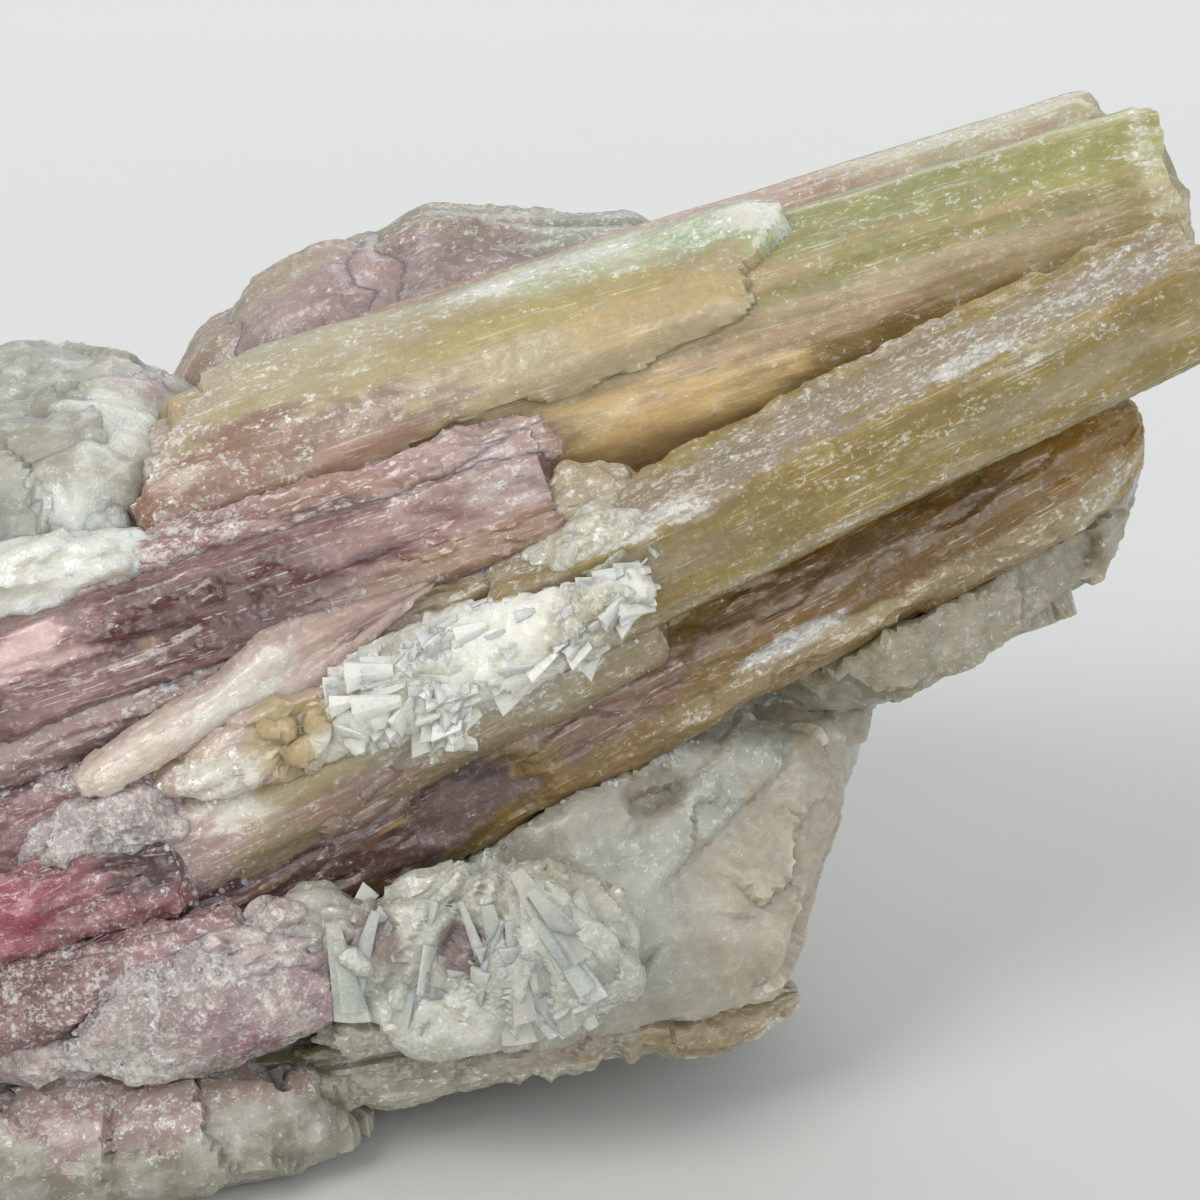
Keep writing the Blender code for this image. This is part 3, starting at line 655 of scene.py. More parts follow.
ROSE, PALE_ROSE, MAUVE = (160, 120, 116), (172, 144, 138), (136, 106, 104)
LILAC, HOT_PINK = (166, 146, 144), (150, 66, 88)
bundle_rows = [
    ((-59, -14.5, 30.5), (20.6, -6.6, 56.6), 6.4, 5.6),
    ((-61, -16.6, 36), (21, -7.8, 61.2), 2.6, 2.3),
    ((-60.5, -20.2, 30.6), (21.4, -10.2, 56.8), 5.3, 4.5),
    ((-59.5, -22.4, 24.2), (16.8, -12.6, 51), 3.4, 2.6)]
bundle_skins = [
    skin(MAUVE, 0.35,
         ((80, 40), (10, 90), PALE_ROSE, 0.5),
         ((40, 300), (40, 60), LILAC, 0.45)),
    skin((176, 146, 142), 0.50,
         ((80, 30), (9, 80), (184, 156, 147), 0.44),
         ((66, 30), (8, 60), (164, 132, 120), 0.3),
         ((54, 40), (7, 60), (156, 122, 120), 0.6),
         ((42, 40), (8, 80), (190, 158, 154), 0.4), shape=crumbly, grain=0.12),
    skin(MAUVE, 0.22,
         ((80, 46), (8, 40), (176, 152, 146), 0.5),
         ((78, 100), (12, 24), (151, 122, 100), 0.3),
         ((72, 60), (10, 30), (148, 114, 104), 0.3),
         ((57, 72), (15, 46), (87, 47, 45), 0.02),
         ((40, 54), (6, 28), (206, 174, 170), 0.36),
         ((40, 96), (9, 22), (118, 84, 84), 0.12),
         ((50.5, 84), (0.9, 13), (146, 112, 78), 0, 0.8), sides=BROAD_FRONT),
    skin((148, 120, 116), 0.44,
         ((80, 70), (11, 60), (150, 134, 104), 0.26),
         ((64, 70), (9, 60), (172, 150, 140), 0.5),
         ((52, 70), (8, 60), (164, 140, 134), 0.58),
         ((40, 80), (7, 60), (150, 122, 118), 0.42)),
]
bundle = column_group("rose_columns", bundle_rows, bundle_skins, seed=21,
                      sides=(100, 96, 110, 84), rings=160, shape=split_off)
rose_paint = mineral("rose_rubellite", *bundle_rows[2][:2], mottle=0.16, depth=2.6, rough=0.22,
                     glint=0.45, specks=0.1)
finish_piece(bundle, rose_paint, "rubellite", "rubellite_bundle")

FINGER = ((-17.6, -23.4, 35.6), (11.6, -15.9, 51.2))


def wedge(height, degrees, radius, at):
    """Widens the finger into a thin wedge against the columns, and narrows it again to its tip."""
    spread = eased(height, 13, 20) * abs(math.cos(math.radians(degrees + 12))) ** 1.5
    narrow = 1 - 0.86 * eased(height, 18, 34)
    return radius * (1 + 0.75 * spread) * narrow + 0.25 * cleaved(at, 2.6, 0.2, 0.5)


finger_colours = skin(
    (182, 158, 146), 0.4,
    ((5, 80), (10, 120), (206, 188, 174), 0.5),
    ((15, 70), (7, 70), (208, 200, 188), 0.5),
    ((30, 60), (9, 70), (162, 136, 126), 0.24),
    ((26, 96), (3, 18), (112, 82, 76), 0.05, 0.9))
finger_faces = [(20, 1.5, 2.3), (80, 1.5, 1.6), (140, 1.6, 2.3), (200, 1.6, 2.3), (270, 1.6, 2.0)]
finger = crystal("pale_finger", *FINGER, finger_faces, finger_colours, sides=80, rings=90,
                 ridge=0.03, wander=0.5, grain=0.09, shift=31, cap=7, broken=0.4, round_off=0.5,
                 shape=wedge)
finish_piece(finger, mineral("pale_rubellite", *FINGER, relief=0.08, depth=2.8), "rubellite",
             "rubellite_finger")

hot_rows = [
    ((-58, -19.4, 14.5), (-6, -15, 30), 8, 6.6),
    ((-57, -23.8, 19.2), (-9.5, -19, 34.4), 4.4, 3.6),
    ((-60, -26.8, 13.4), (-10.6, -22.4, 28.6), 4.6, 3.8),
    ((-57.5, -27.8, 7.8), (-5, -25.2, 22.4), 4.5, 3.2)]
hot_skins = [
    # painted shade: the core column is dark mauve, the shade of the cavity seen beside the
    # shortened front column
    skin((112, 76, 84), 0.16),
    skin((156, 128, 128), 0.58,
         ((44, 70), (6, 80), (150, 124, 126), 0.7),
         ((36, 60), (5, 80), (132, 98, 100), 0.3), shape=crumbly, grain=0.14),
    skin((141, 95, 99), 0.46,
         ((46, 70), (7, 46), (146, 95, 98), 0.44),
         ((37, 78), (6, 44), HOT_PINK, 0.24, 0.8),
         ((50, 46), (4, 66), (92, 68, 68), 0.1), shape=crumbly),
    skin((136, 104, 104), 0.50,
         ((40, 70), (9, 60), (132, 100, 98), 0.54),
         ((50, 70), (6, 60), (160, 126, 128), 0.5), shape=crumbly, grain=0.14),
]
hot_pink = column_group("hot_pink_columns", hot_rows, hot_skins, seed=41,
                        sides=(120, 96, 100, 96), rings=110, wander=0.9, shape=split_off)
hot_paint = mineral("hot_pink_rubellite", *hot_rows[2][:2], mottle=0.2, relief=0.12, depth=2.2,
                    glint=0.5, specks=0.1, drawn=0.6)
finish_piece(hot_pink, hot_paint, "hot_pink_rubellite", "hot_pink_rubellite")


def worn(length):
    """The shape of a column of this length in mm, split off in steps, with both ends worn round."""
    def shape(height, degrees, radius, at):
        near_end = min(height, length - height)
        return split_off(height, degrees, radius, at) - 3.4 * (1 - eased(near_end, 0, 8)) ** 2
    return shape


back_rows = [
    ((-13, 26, 50.5), (12, 28, 60.3), 6.2, 8.8),
    ((-8.5, 26, 54.5), (8, 27, 60.8), 6.8, 8.4),
    ((4, 28.1, 60.9), (33, 30.6, 59.6), 8.2, 7.6)]
back_skins = [
    skin((170, 146, 142), 0.40,
         ((2, 20), (7, 70), (166, 146, 128), 0.4), shape=worn(26.9)),
    skin((176, 154, 150), 0.40,
         ((6, 0), (9, 30), (170, 156, 138), 0.4),
         ((14, 60), (6, 40), (168, 140, 140), 0.4), shape=worn(17.7)),
    skin((158, 138, 134), 0.44,
         ((6, 350), (12, 36), (154, 141, 120), 0.5),
         ((24, 0), (12, 90), (158, 158, 144), 0.5), shape=worn(29.1))]
weathered = column_group("weathered_dome", back_rows, back_skins, seed=51, sides=(96, 96, 96),
                         rings=70, wander=1.1)
finish_piece(weathered, mineral("weathered_rubellite", *back_rows[0][:2], mottle=0.18, relief=0.11),
             "mauve_rubellite", "back_rubellite")

# ---- The thin ledge ------------------------------------------------------------------------------
# The rim of a crystal that broke away leaves a thin tan ledge along the foot of the front.
LEDGE = ((-36, -25, 4.6), (41.5, -11, 10.6))
ledge_colours = skin(
    (166, 160, 141), 0.5,
    ((36, 46), (34, 14), (148, 137, 104), 0.3),
    ((60, 80), (9, 30), (154, 140, 122), 0.34),
    ((71, 90), (9, 60), (152, 136, 104), 0.3),
    ((42, 30), (7, 14), (128, 128, 78), 0.2, 0.8),
    ((10, 80), (14, 60), (164, 146, 140), 0.56))


def ledge_edge(height, degrees, radius, at):
    """Chunky lumps along the ledge, one layer line, and a jagged lower rim."""
    lumps = 0.8 * cleaved(at, 4.4, 0.14, 0.8) + 0.5 * cleaved(at, 1.9, 0.2, 0.5)
    layer = 0.7 * (1 - eased(abs(degrees - 66 - 5 * noise.noise((height * 0.1, 1, 0))), 3, 9))
    teeth = 2.2 * abs(noise.noise((height * 0.28, 4, 0))) * (1 - eased(abs(degrees - 128), 14, 40))
    return radius + lumps - layer - teeth - 1.6 * eased(height, 68, 79) ** 2


ledge_faces = [(0, 3.3, 2.4), (60, 4.2, 2.9), (95, 5.4, 3.9), (130, 5.0, 4.5), (180, 3.6, 3.8),
               (240, 5.4, 5), (290, 6.4, 5.6)]
ledge = crystal("tan_ledge", *LEDGE, ledge_faces, ledge_colours, sides=110, rings=180, ridge=0.02,
                wander=0.9, grain=0.12, shift=61, shape=ledge_edge, cap=6)
finish_piece(ledge, mineral("ledge_tourmaline", *LEDGE, mottle=0.18, relief=0.12, depth=3.2),
             "tan_tourmaline", "ledge")

# ---- Milky quartz --------------------------------------------------------------------------------
# One mass of broken quartz holds everything together.  It is milky to smoky, split along flat
# faces, and rough with small conchoidal scoops where it broke.


def remade(node, name, grain):
    """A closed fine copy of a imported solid, with faces about grain mm across."""
    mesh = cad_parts[node].data.copy()
    piece = bpy.data.objects.new(name, mesh)
    mesh.name = name
    bpy.context.scene.collection.objects.link(piece)
    close_up(piece)
    remesh = piece.modifiers.new("even grain", "REMESH")
    remesh.mode, remesh.voxel_size, remesh.use_smooth_shade = "VOXEL", grain * MM, True
    bpy.context.view_layer.objects.active = piece
    bpy.ops.object.modifier_apply(modifier=remesh.name)
    return piece


def reworked(piece, relief, colours):
    """Moves each point of a piece out by relief(place) mm, and tints it."""
    mesh = piece.data
    count = len(mesh.vertices)
    places, normals, tints = np.empty(count * 3), np.empty(count * 3), np.empty((count, 4))
    mesh.vertices.foreach_get("co", places)
    mesh.vertex_normals.foreach_get("vector", normals)
    places, normals = places.reshape(-1, 3) / MM, normals.reshape(-1, 3)
    moved = places.copy()
    for number in range(count):
        at = Vector(places[number])
        moved[number] += normals[number] * relief(at)
        wobble = 0.5 * noise.noise(at * 0.35) + 0.3 * noise.noise(at * 1.1)
        tints[number] = tint_at(colours, lambda middle, half: wobble + math.sqrt(
            sum(((at[k] - middle[k]) / half[k]) ** 2 for k in range(3))), 0.65, 1.15)
    moved[:, 2] = np.maximum(moved[:, 2], 0.0)
    mesh.vertices.foreach_set("co", (moved * MM).ravel())
    tinted(mesh, tints)
    mesh.update()
    close_up(piece, 32)
    return piece


BAND_MIDDLE, BAND_LIE = (26.4, 29.4), (0.82, 0.57)


def quartz_relief(at):
    """Grows the quartz against its crystals, and breaks its surface into facets and scoops."""
    front = 1 if at.y < -8 else 0
    calm = 1 - 0.65 * (1 - eased(math.hypot((at.x - 24) / 24, (at.z - 20) / 22), 0.8, 1.1)) * front
    height = 0.35 + 0.9 * cleaved(at, 7.5, 0.22, 0.5) * (0.4 + 0.6 * calm)
    height += 0.36 * calm * cleaved(at, 3.4, 0.22, 0.3)
    height += 0.16 * calm * cleaved(at, 1.5, 0.22, 0.3) + 0.10 * noise.noise(at * 1.6)
    if front and 8 < at.x < 50 and at.z > 10:             # a raised band and soft ridges in front
        right, above = at.x - BAND_MIDDLE[0], at.z - BAND_MIDDLE[1]
        across = above * BAND_LIE[0] - right * BAND_LIE[1]
        along = right * BAND_LIE[0] + above * BAND_LIE[1]
        height += 0.9 * (1 - eased(abs(across), 1.8, 2.6)) * (1 - eased(abs(along), 5.5, 8))
        height -= 0.8 * (1 - eased(math.hypot((at.x - 21.5) / 3.0, (at.z - 31.0) / 2.0), 0.6, 1.2))
        height += 0.6 * streaky((at.x, at.y, at.z), 3.0, 9.0, 40.0)
    return height * eased(at.z, 0.0, 2.5)


WHITE, GREY, CLEAR = (200, 202, 192), (140, 140, 132), (164, 160, 146)
quartz_colours = skin(
    (168, 166, 154), 0.36,
    ((16, -18, 20), (26, 12, 20), CLEAR, 0.26),
    ((34, -14, 20), (9, 14, 20), (170, 159, 141), 0.2),
    ((18, -22, 22), (8, 8, 9), (170, 170, 158), 0.4, 0.8),
    ((8, -22, 20), (7, 8, 9), (172, 174, 158), 0.44),
    ((30, -16, 8), (10, 9, 6), (172, 163, 144), 0.3),
    ((31, -12, 33), (3.2, 6, 3), (166, 168, 158), 0.44),
    ((26.5, -15.5, 29.6), (3.4, 6, 3), (168, 170, 160), 0.46),
    ((22.2, -19.5, 26.4), (3.2, 6, 3), (170, 172, 162), 0.46),
    ((21.5, -16, 31), (3.2, 6, 2.2), (134, 126, 108), 0.1),
    # painted shade: the shelf under the lower prism is grey-tan where the prism shades it, and
    # paler to its lower edge
    ((47, -4, 43), (24, 14, 12), (142, 134, 112), 0.32),
    ((55, -4, 40), (9, 14, 8), (154, 147, 128), 0.4, 0.8),
    ((-38, -2, 46), (16, 20, 14), WHITE, 0.66),
    ((-32, -10, 51), (3.5, 9, 6), GREY, 0.36),
    ((-27, -6, 53), (5, 9, 6), (200, 202, 190), 0.7),
    ((-32, -8, 42), (8, 12, 5), (212, 214, 206), 0.75),
    ((-24, -20, 4), (28, 18, 6), (133, 129, 112), 0.38),
    ((-25, -31, 8.5), (10, 6, 3.6), (156, 132, 128), 0.5),
    ((-12, -28, 10.5), (8, 6, 2.2), (158, 138, 128), 0.5),
    ((-32, -3, 60), (5, 8, 6), (156, 154, 138), 0.3),
    ((-20, 9, 61), (8, 8, 2.4), (178, 152, 152), 0.5, 0.8),
    ((-44, -26, 6), (12, 10, 8), (166, 146, 144), 0.5),
    ((-2, -22, 3), (10, 10, 5), (150, 144, 130), 0.3),
    ((-22, 30, 40), (20, 16, 14), (198, 198, 187), 0.6, 0.8),
    ((-30, 28, 12), (14, 14, 9), (150, 145, 128), 0.4, 0.7),
    ((0, 26, 30), (6, 14, 14), (170, 154, 144), 0.4, 0.6),
    ((28, 24, 28), (12, 14, 12), (184, 177, 160), 0.5, 0.8),
    ((22, 20, 8), (12, 14, 7), (146, 138, 118), 0.3, 0.7))
quartz = reworked(remade("quartz_matrix", "quartz_mass", 0.66), quartz_relief, quartz_colours)
milky_quartz = mineral("milky_quartz", (0, 0, 0), (1, 0.1, 0.35), drawn=0.3, streaks=0.02,
                       mottle=0.12, depth=4.0, glow=0.7, rough=0.33, relief=0.10, glint=0.35,
                       specks=0.1, grit=1.6, lines=0.3, veil=(0.72, 0.73, 0.69, 1))
finish_piece(quartz, milky_quartz, "milky_quartz", "quartz_matrix")


STONE, TAN_MINERAL = (milky_quartz, "milky_quartz"), (tan_paint, "tan_tourmaline")


def broken_lump(name, centre, halves, tilt, relief, look, colours, fine=5):
    """A broken lump round a place, in mm, with three half sizes and a tilt in degrees about Y.

    look is its material and its slot.
    """
    bpy.ops.mesh.primitive_ico_sphere_add(subdivisions=fine, radius=1)
    piece = plain_object(name)
    place = Matrix.Rotation(math.radians(-tilt), 3, "Y") @ Matrix.Diagonal(Vector(halves))
    middle = Vector(centre)
    for vert in piece.data.vertices:
        swell = 1 + 0.22 * noise.noise(vert.co * 1.4 + middle)
        swell += 0.14 * noise.noise(vert.co * 3.1 + middle)
        vert.co = (place @ (vert.co * swell) + middle) * MM
    finish_piece(reworked(piece, relief, colours), *look)
    return piece


def lump_relief(at):
    height = 1.1 * cleaved(at, 6.5, 0.18, 0.5)
    return height + 0.18 * cleaved(at, 2.2, 0.2, 0.35) + 0.12 * noise.noise(at * 1.6)


def smooth_relief(at):
    return 0.35 * cleaved(at, 3.4, 0.14, 0.5) + 0.25 * cleaved(at, 1.3, 0.16, 0.3)


def chunky_relief(at):
    return 0.9 * cleaved(at, 4.6, 0.26, 0.5) + 0.3 * cleaved(at, 1.5, 0.2, 0.3)


for lump in (
        ("quartz_cheek", (-27.5, 0.5, 49.5), (12, 13, 11), 8, lump_relief, STONE,
         skin((178, 177, 162), 0.5,
              ((-32, -4, 59), (6, 8, 6), (150, 146, 129), 0.3),
              ((-20, 9, 60), (8, 8, 2.4), (178, 152, 152), 0.5, 0.8),
              ((-24, -3, 59), (5, 6, 5), (214, 212, 198), 0.6),
              ((-28, -11, 51), (7, 7, 6), (220, 220, 208), 0.75))),
        ("white_filling", (-30, -14, 49.5), (11, 4.6, 3.4), 18, lump_relief, STONE,
         skin((228, 227, 215), 0.6)),
        ("peach_side", (-20.5, -8, 47), (9, 4.8, 6.2), 20, chunky_relief,
         (sleeve_paint, "green_tourmaline"),
         skin((166, 138, 120), 0.36,
              ((-26, -12, 50), (4, 4, 4), (184, 164, 142), 0.6))),
        ("inner_filling", (-3, -13.5, 42), (24, 6, 8), 18, smooth_relief, TAN_MINERAL,
         skin((168, 140, 126), 0.5)),
        ("tan_filling", (-8, -20.4, 31.2), (10, 3.4, 3.4), 27, chunky_relief, TAN_MINERAL,
         skin((142, 118, 106), 0.36,
              # painted shade: the darker mauve spot is the shade of the cavity under the short tan
              # prism
              ((-12, -22, 28), (6, 6, 4), (120, 92, 90), 0.3))),
        ("peach_filling", (-11.5, -23.2, 38.2), (9.5, 4, 3.4), 27, chunky_relief, TAN_MINERAL,
         skin((182, 158, 142), 0.50,
              ((-6, -25, 40), (6, 6, 4), (176, 160, 122), 0.2),
              ((-14, -26, 36), (4, 6, 3), (206, 198, 180), 0.8, 0.9))),
        ("filling_by_the_break", (17, -13.3, 54.6), (4.8, 3.8, 5), 30, smooth_relief, TAN_MINERAL,
         skin((176, 160, 130), 0.5,
              ((18, -17, 52.5), (5, 4, 2.6), (196, 190, 172), 0.8, 0.9))),
        ("stone_by_the_cavity", (-5, -27, 21.5), (5.5, 3.8, 5), 20, lump_relief, STONE,
         skin((172, 170, 158), 0.5,
              ((-12, -29, 25), (5, 5, 3.5), (162, 130, 130), 0.4))),
        ("stone_on_the_ledge", (0, -28, 14.4), (6.5, 2.4, 1.8), 8, lump_relief, STONE,
         skin((166, 160, 144), 0.5))):
    broken_lump(*lump)

# ---- White blades --------------------------------------------------------------------------------
# Cleavelandite, the bladed white feldspar, fills the gaps between the crystals with stacks of thin
# six-sided blades.  The upper mass is a crust of short ones, the lower one a fan of long ones.


def template(name, sides, head, foot=1.0, lean=0.0):
    """One small blade or sliver, a unit high, to be copied by the hundred."""
    bpy.ops.mesh.primitive_cylinder_add(vertices=sides, radius=0.5, depth=1, end_fill_type="NGON")
    shape = plain_object(name)
    for vert in shape.data.vertices:
        waist = head if vert.co.z > 0 else foot
        vert.co.x, vert.co.y = vert.co.x * waist + (lean if vert.co.z > 0 else 0), vert.co.y * waist
    return shape


def copies(name, shape, rows):
    """Copies of a shape as one piece: rows of (place in mm, turn, size in mm, colour, frost)."""
    count = len(shape.data.vertices)
    unit = np.empty(count * 3)
    shape.data.vertices.foreach_get("co", unit)
    unit = unit.reshape(-1, 3)
    faces = [tuple(face.vertices) for face in shape.data.polygons]
    verts, polygons, tints = [], [], []
    for number, (place, turn, size, colour, frost) in enumerate(rows):
        corners = (unit * np.array(size)) @ np.array(turn).T + np.array(place)
        corners[:, 2] = np.maximum(corners[:, 2], 0.05)
        verts.append(corners * MM)
        polygons += [tuple(corner + number * count for corner in face) for face in faces]
        tints += [(*colour, frost)] * count
    mesh = bpy.data.meshes.new(name)
    mesh.from_pydata(np.vstack(verts).tolist(), [], polygons)
    tinted(mesh, tints)
    piece = bpy.data.objects.new(name, mesh)
    bpy.context.scene.collection.objects.link(piece)
    close_up(piece, 20)
    return piece


def turned(height, face, roll=0.0):
    """A turn with z along height and y as near face as it can be, rolled by degrees about z."""
    z = Vector(height).normalized()
    y = (Vector(face) - Vector(face).dot(z) * z).normalized()
    return Matrix((y.cross(z), y, z)).transposed() @ Matrix.Rotation(math.radians(roll), 3, "Z")


def draw_vertex(draw, piece):
    """A point of a piece drawn at random."""
    return piece.data.vertices[draw.randrange(len(piece.data.vertices))]


def stacks(bed, count, blades, lean, size, stand, spread, colour, seed, wanted, sink):
    """Rows for stacks of parallel blades on a bed, where wanted(place, normal) allows them.

    lean is the way they point, stand how far they stand up from the bed (0 is flat on it), spread
    how much the stacks differ, and sink how deep in mm they are set.
    """
    draw = random.Random(seed)
    colour = tone(colour)
    rows = []
    while count > 0:
        vert = draw_vertex(draw, bed)
        place, out = vert.co / MM, vert.normal
        if not wanted(place, out):
            continue
        count -= 1
        way = Vector(lean) + Vector([draw.gauss(0, spread) for _ in range(3)])
        way = (way - way.dot(out) * out).normalized() + out * stand * draw.uniform(0.4, 1.6)
        roll = draw.gauss(0, 16)
        for number in range(blades):
            stray = Vector([draw.gauss(0, 0.06) for _ in range(3)])
            turn = turned(way + stray, out + stray, roll + draw.gauss(0, 8))
            long, wide, thick = (part * draw.uniform(0.6, 1.35) for part in size)
            nth = number - blades / 2
            step = turn @ Vector((nth * wide * 0.55, nth * thick * 0.9, 0))
            middle = place + step + way.normalized() * long * draw.uniform(-0.1, 0.2) - out * sink
            pale = draw.uniform(0.90, 1.07)
            rows.append((middle, turn, (wide, thick, long), tuple(part * pale for part in colour),
                         draw.uniform(0.25, 0.75)))
    return rows


blade = template("blade", 6, 0.34, 0.92, 0.14)


def albite_relief(at):
    return 0.6 + 0.7 * cleaved(at, 3.0, 0.26, 0.6) + 0.4 * cleaved(at, 1.2, 0.3, 0.5)


ALBITE = (238, 235, 219)
albite_paint = mineral("white_feldspar", (0, 0, 0), (0.3, -0.4, 0.85), drawn=0.4, streaks=0.03,
                       mottle=0.07, depth=3.0, rough=0.28, glint=0.3, specks=0.0,
                       frost=(0.4, 0.9), lines=0.2, veil=(0.80, 0.81, 0.77, 1))
WHITE_MINERAL = (albite_paint, "cleavelandite")
upper_colours = skin(
    ALBITE, 0.6,
    ((-9.5, -25, 40), (4.5, 6, 4.5), (176, 156, 116), 0.25),
    ((4, -21, 46), (5, 5, 2.4), (184, 180, 162), 0.4),
    ((-3, -26, 36.4), (6, 6, 2.6), (172, 156, 130), 0.4, 0.9),
    ((17.3, -25, 49.4), (5, 6, 4.4), (170, 162, 138), 0.5))
upper_bed = reworked(remade("cleavelandite_upper", "upper_albite_bed", 0.42), albite_relief,
                     upper_colours)
finish_piece(upper_bed, *WHITE_MINERAL, "cleavelandite_upper")
top_patch = broken_lump("albite_by_the_break", (16.4, -18.0, 52.4), (6.4, 3.8, 3.8), 30,
                        smooth_relief, WHITE_MINERAL, skin((180, 172, 148), 0.6))
rows = []
for lean, seed, count, size, part in (
        ((1, -0.1, 0.12), 5, 34, (3.4, 2.6, 1.1),
         lambda place: -4.2 < place[0] < 6 and 39 < place[2] < 47),
        ((0.4, -0.3, 0.9), 8, 26, (2.8, 1.8, 0.9),
         lambda place: -3 < place[0] < 7 and place[2] > 43),
        ((0.9, -0.1, 0.45), 7, 36, (2.8, 2, 0.9), lambda place: place[0] >= 4)):
    rows += stacks(
        upper_bed, count, 3, lean, size, 0.05, 0.08, ALBITE, seed,
        lambda place, out: out[1] < -0.2 and out[2] > -0.2 and out[0] > -0.6 and part(place), 0.72)
rows += stacks(top_patch, 14, 3, (0.5, -0.1, 0.4), (2.4, 1.6, 0.7), 0.06, 0.2, (188, 181, 158), 6,
               lambda place, out: out[1] < -0.2 and out[2] > -0.4, 0.5)
finish_piece(copies("upper_albite_blades", blade, rows), *WHITE_MINERAL)

FAN_POINT = (9.4, 33.0)
HOLLOWS = (((6, 23.4), (2.4, 3.4), 1),      # (x, z), half sizes and depth, in mm
           ((12.4, 20), (1.4, 2.8), 0.7), ((-1, 24.4), (1.8, 3.2), 0.9))


def fan_relief(at):
    """Plates that fan out from one point down the front, with dark hollows between them."""
    out, down = at.x - FAN_POINT[0], FAN_POINT[1] - at.z
    round_it = math.atan2(out, max(down, 0.1))
    plate = Vector((round_it * 8.0, math.hypot(out, down) * 0.17, at.y * 0.1))
    height = 0.5 + 0.7 * cleaved(plate, 1.0, 0.35, 1.3) + 0.1 * cleaved(at, 1.4, 0.3, 0.4)
    for (x, z), (wide, high), deep in HOLLOWS:
        height -= deep * (1 - eased(math.hypot((at.x - x) / wide, (at.z - z) / high), 0.5, 1.1))
    return height


lower_colours = skin(
    (184, 184, 172), 0.46,
    ((5, -30, 17.2), (5.4, 5, 3), ALBITE, 0.7),
    # painted shade: the next three darker patches lie in the hollows between the plates
    ((-1, -26, 25), (4, 6, 5), (150, 138, 128), 0.2),
    ((6.6, -28, 23.6), (2.4, 5, 3.6), (116, 100, 98), 0.1),
    ((12, -28, 19.4), (1.8, 5, 2.8), (140, 126, 122), 0.1),
    ((16, -27, 27), (5, 6, 4), (176, 174, 156), 0.3))
lower_bed = reworked(remade("cleavelandite_lower", "lower_albite_bed", 0.34), fan_relief,
                     lower_colours)
finish_piece(lower_bed, *WHITE_MINERAL, "cleavelandite_lower")
fan_colours = skin(
    (176, 175, 162), 0.44,
    ((4, -31, 17.4), (5.4, 5, 2.6), (202, 200, 186), 0.6),
    # painted shade: these two darker patches lie in the hollows between the plates
    ((6, -31, 23.4), (2.6, 5, 3), (124, 108, 104), 0.1),
    ((-1, -31, 24.4), (2.4, 5, 3), (140, 126, 120), 0.2),
    ((13, -31, 24), (4.4, 5, 6), (196, 195, 180), 0.5))
fan_body = broken_lump("fan_body", (6.8, -29.3, 20.8), (12.6, 3.0, 7.6), 0, fan_relief,
                       WHITE_MINERAL, fan_colours, fine=6)
FAN_WHITE = (196, 195, 182)
FAN = [((4.0, 27.8), (0.7, 16.6), 1.5), ((6.3, 28.3), (7.9, 21.6), 1.1),
       ((8.6, 28.6), (10.7, 15.7), 2.6), ((10.7, 30.7), (15.5, 22.4), 3),
       ((12, 28.9), (17, 19.2), 2.2), ((-4.3, 26.7), (-3, 17.2), 2.8),
       ((-0.5, 26.7), (-3.6, 19.2), 1.8)]     # (x, z) of both ends, and width, in mm
draw = random.Random(9)
rows = []
for head, end, wide in FAN:
    head, end = Vector((head[0], 0, head[1])), Vector((end[0], 0, end[1]))
    for layer in range(2 if wide > 2 else 1):
        shift = Vector((draw.gauss(0, 0.7) * layer,
                        -31.9 - 0.3 * layer + draw.uniform(-0.3, 0.2), draw.gauss(0, 0.8)))
        height = head - end + Vector((draw.gauss(0, 0.4), draw.gauss(0, 1.1), 0))
        turn = turned(height, (0.0, -1.0, 0.3), draw.gauss(0, 12))
        size = (wide * (1.4 - 0.4 * layer), 0.9, height.length * (1 - 0.3 * layer))
        rows.append(((head + end) / 2 + shift, turn, size,
                     tuple(part * draw.uniform(0.92, 1.0) for part in tone(FAN_WHITE)),
                     draw.uniform(0.2, 0.5)))
for left in range(-3, 17, 4):                              # plates that point away from one place
    way = (left + 2 - FAN_POINT[0], 0.0, 20 - FAN_POINT[1])
    rows += stacks(
        fan_body, 5, 2, way, (4.0, 2.6, 0.9), 0.04, 0.10, FAN_WHITE, 10 + left,
        lambda place, out: out[1] < -0.6 and left < place[0] < left + 4 and 17 < place[2] < 26, 0.5)
finish_piece(copies("lower_albite_blades", blade, rows), *WHITE_MINERAL)

# ---- The grainy lilac patch ----------------------------------------------------------------------
# Lepidolite, a lilac mica, sits low on the front as a crust of small scales.  More of it fills the
# hollows between the pink columns.


def crust_relief(at):
    height = 0.2 + 0.3 * cleaved(at, 1.6, 0.3, 0.7) + 0.25 * cleaved(at, 0.8, 0.3, 0.8)
    return height + 0.35 * noise.noise(at * 0.4)


def broken_crust(at):
    return crust_relief(at) + 0.7 * cleaved(at, 3.4, 0.26, 0.5)


LILAC_CRUST = skin(
    (180, 162, 160), 0.6,
    ((-22, -32, 14), (6, 5, 2.4), (192, 184, 180), 0.8, 0.8),
    ((-12, -32, 15), (2.4, 5, 1.8), (154, 96, 112), 0.4, 0.8),
    ((-14, -31, 17), (6, 5, 4), (166, 132, 138), 0.5, 0.7),
    ((-5, -30, 19), (4, 5, 4), (164, 128, 136), 0.5, 0.7),
    ((-24, -30, 30), (8, 8, 5), (166, 152, 152), 0.62))
lilac_paint = mineral("lepidolite", (0, 0, 0), (1, 0, 0.2), drawn=0.1, streaks=0.14, mottle=0.22,
                      glint=0.8, grit=2.6, relief=0.16, specks=0.2)
crust = reworked(remade("lepidolite", "lilac_crust", 0.36), crust_relief, LILAC_CRUST)
finish_piece(crust, lilac_paint, "lepidolite", "lepidolite")
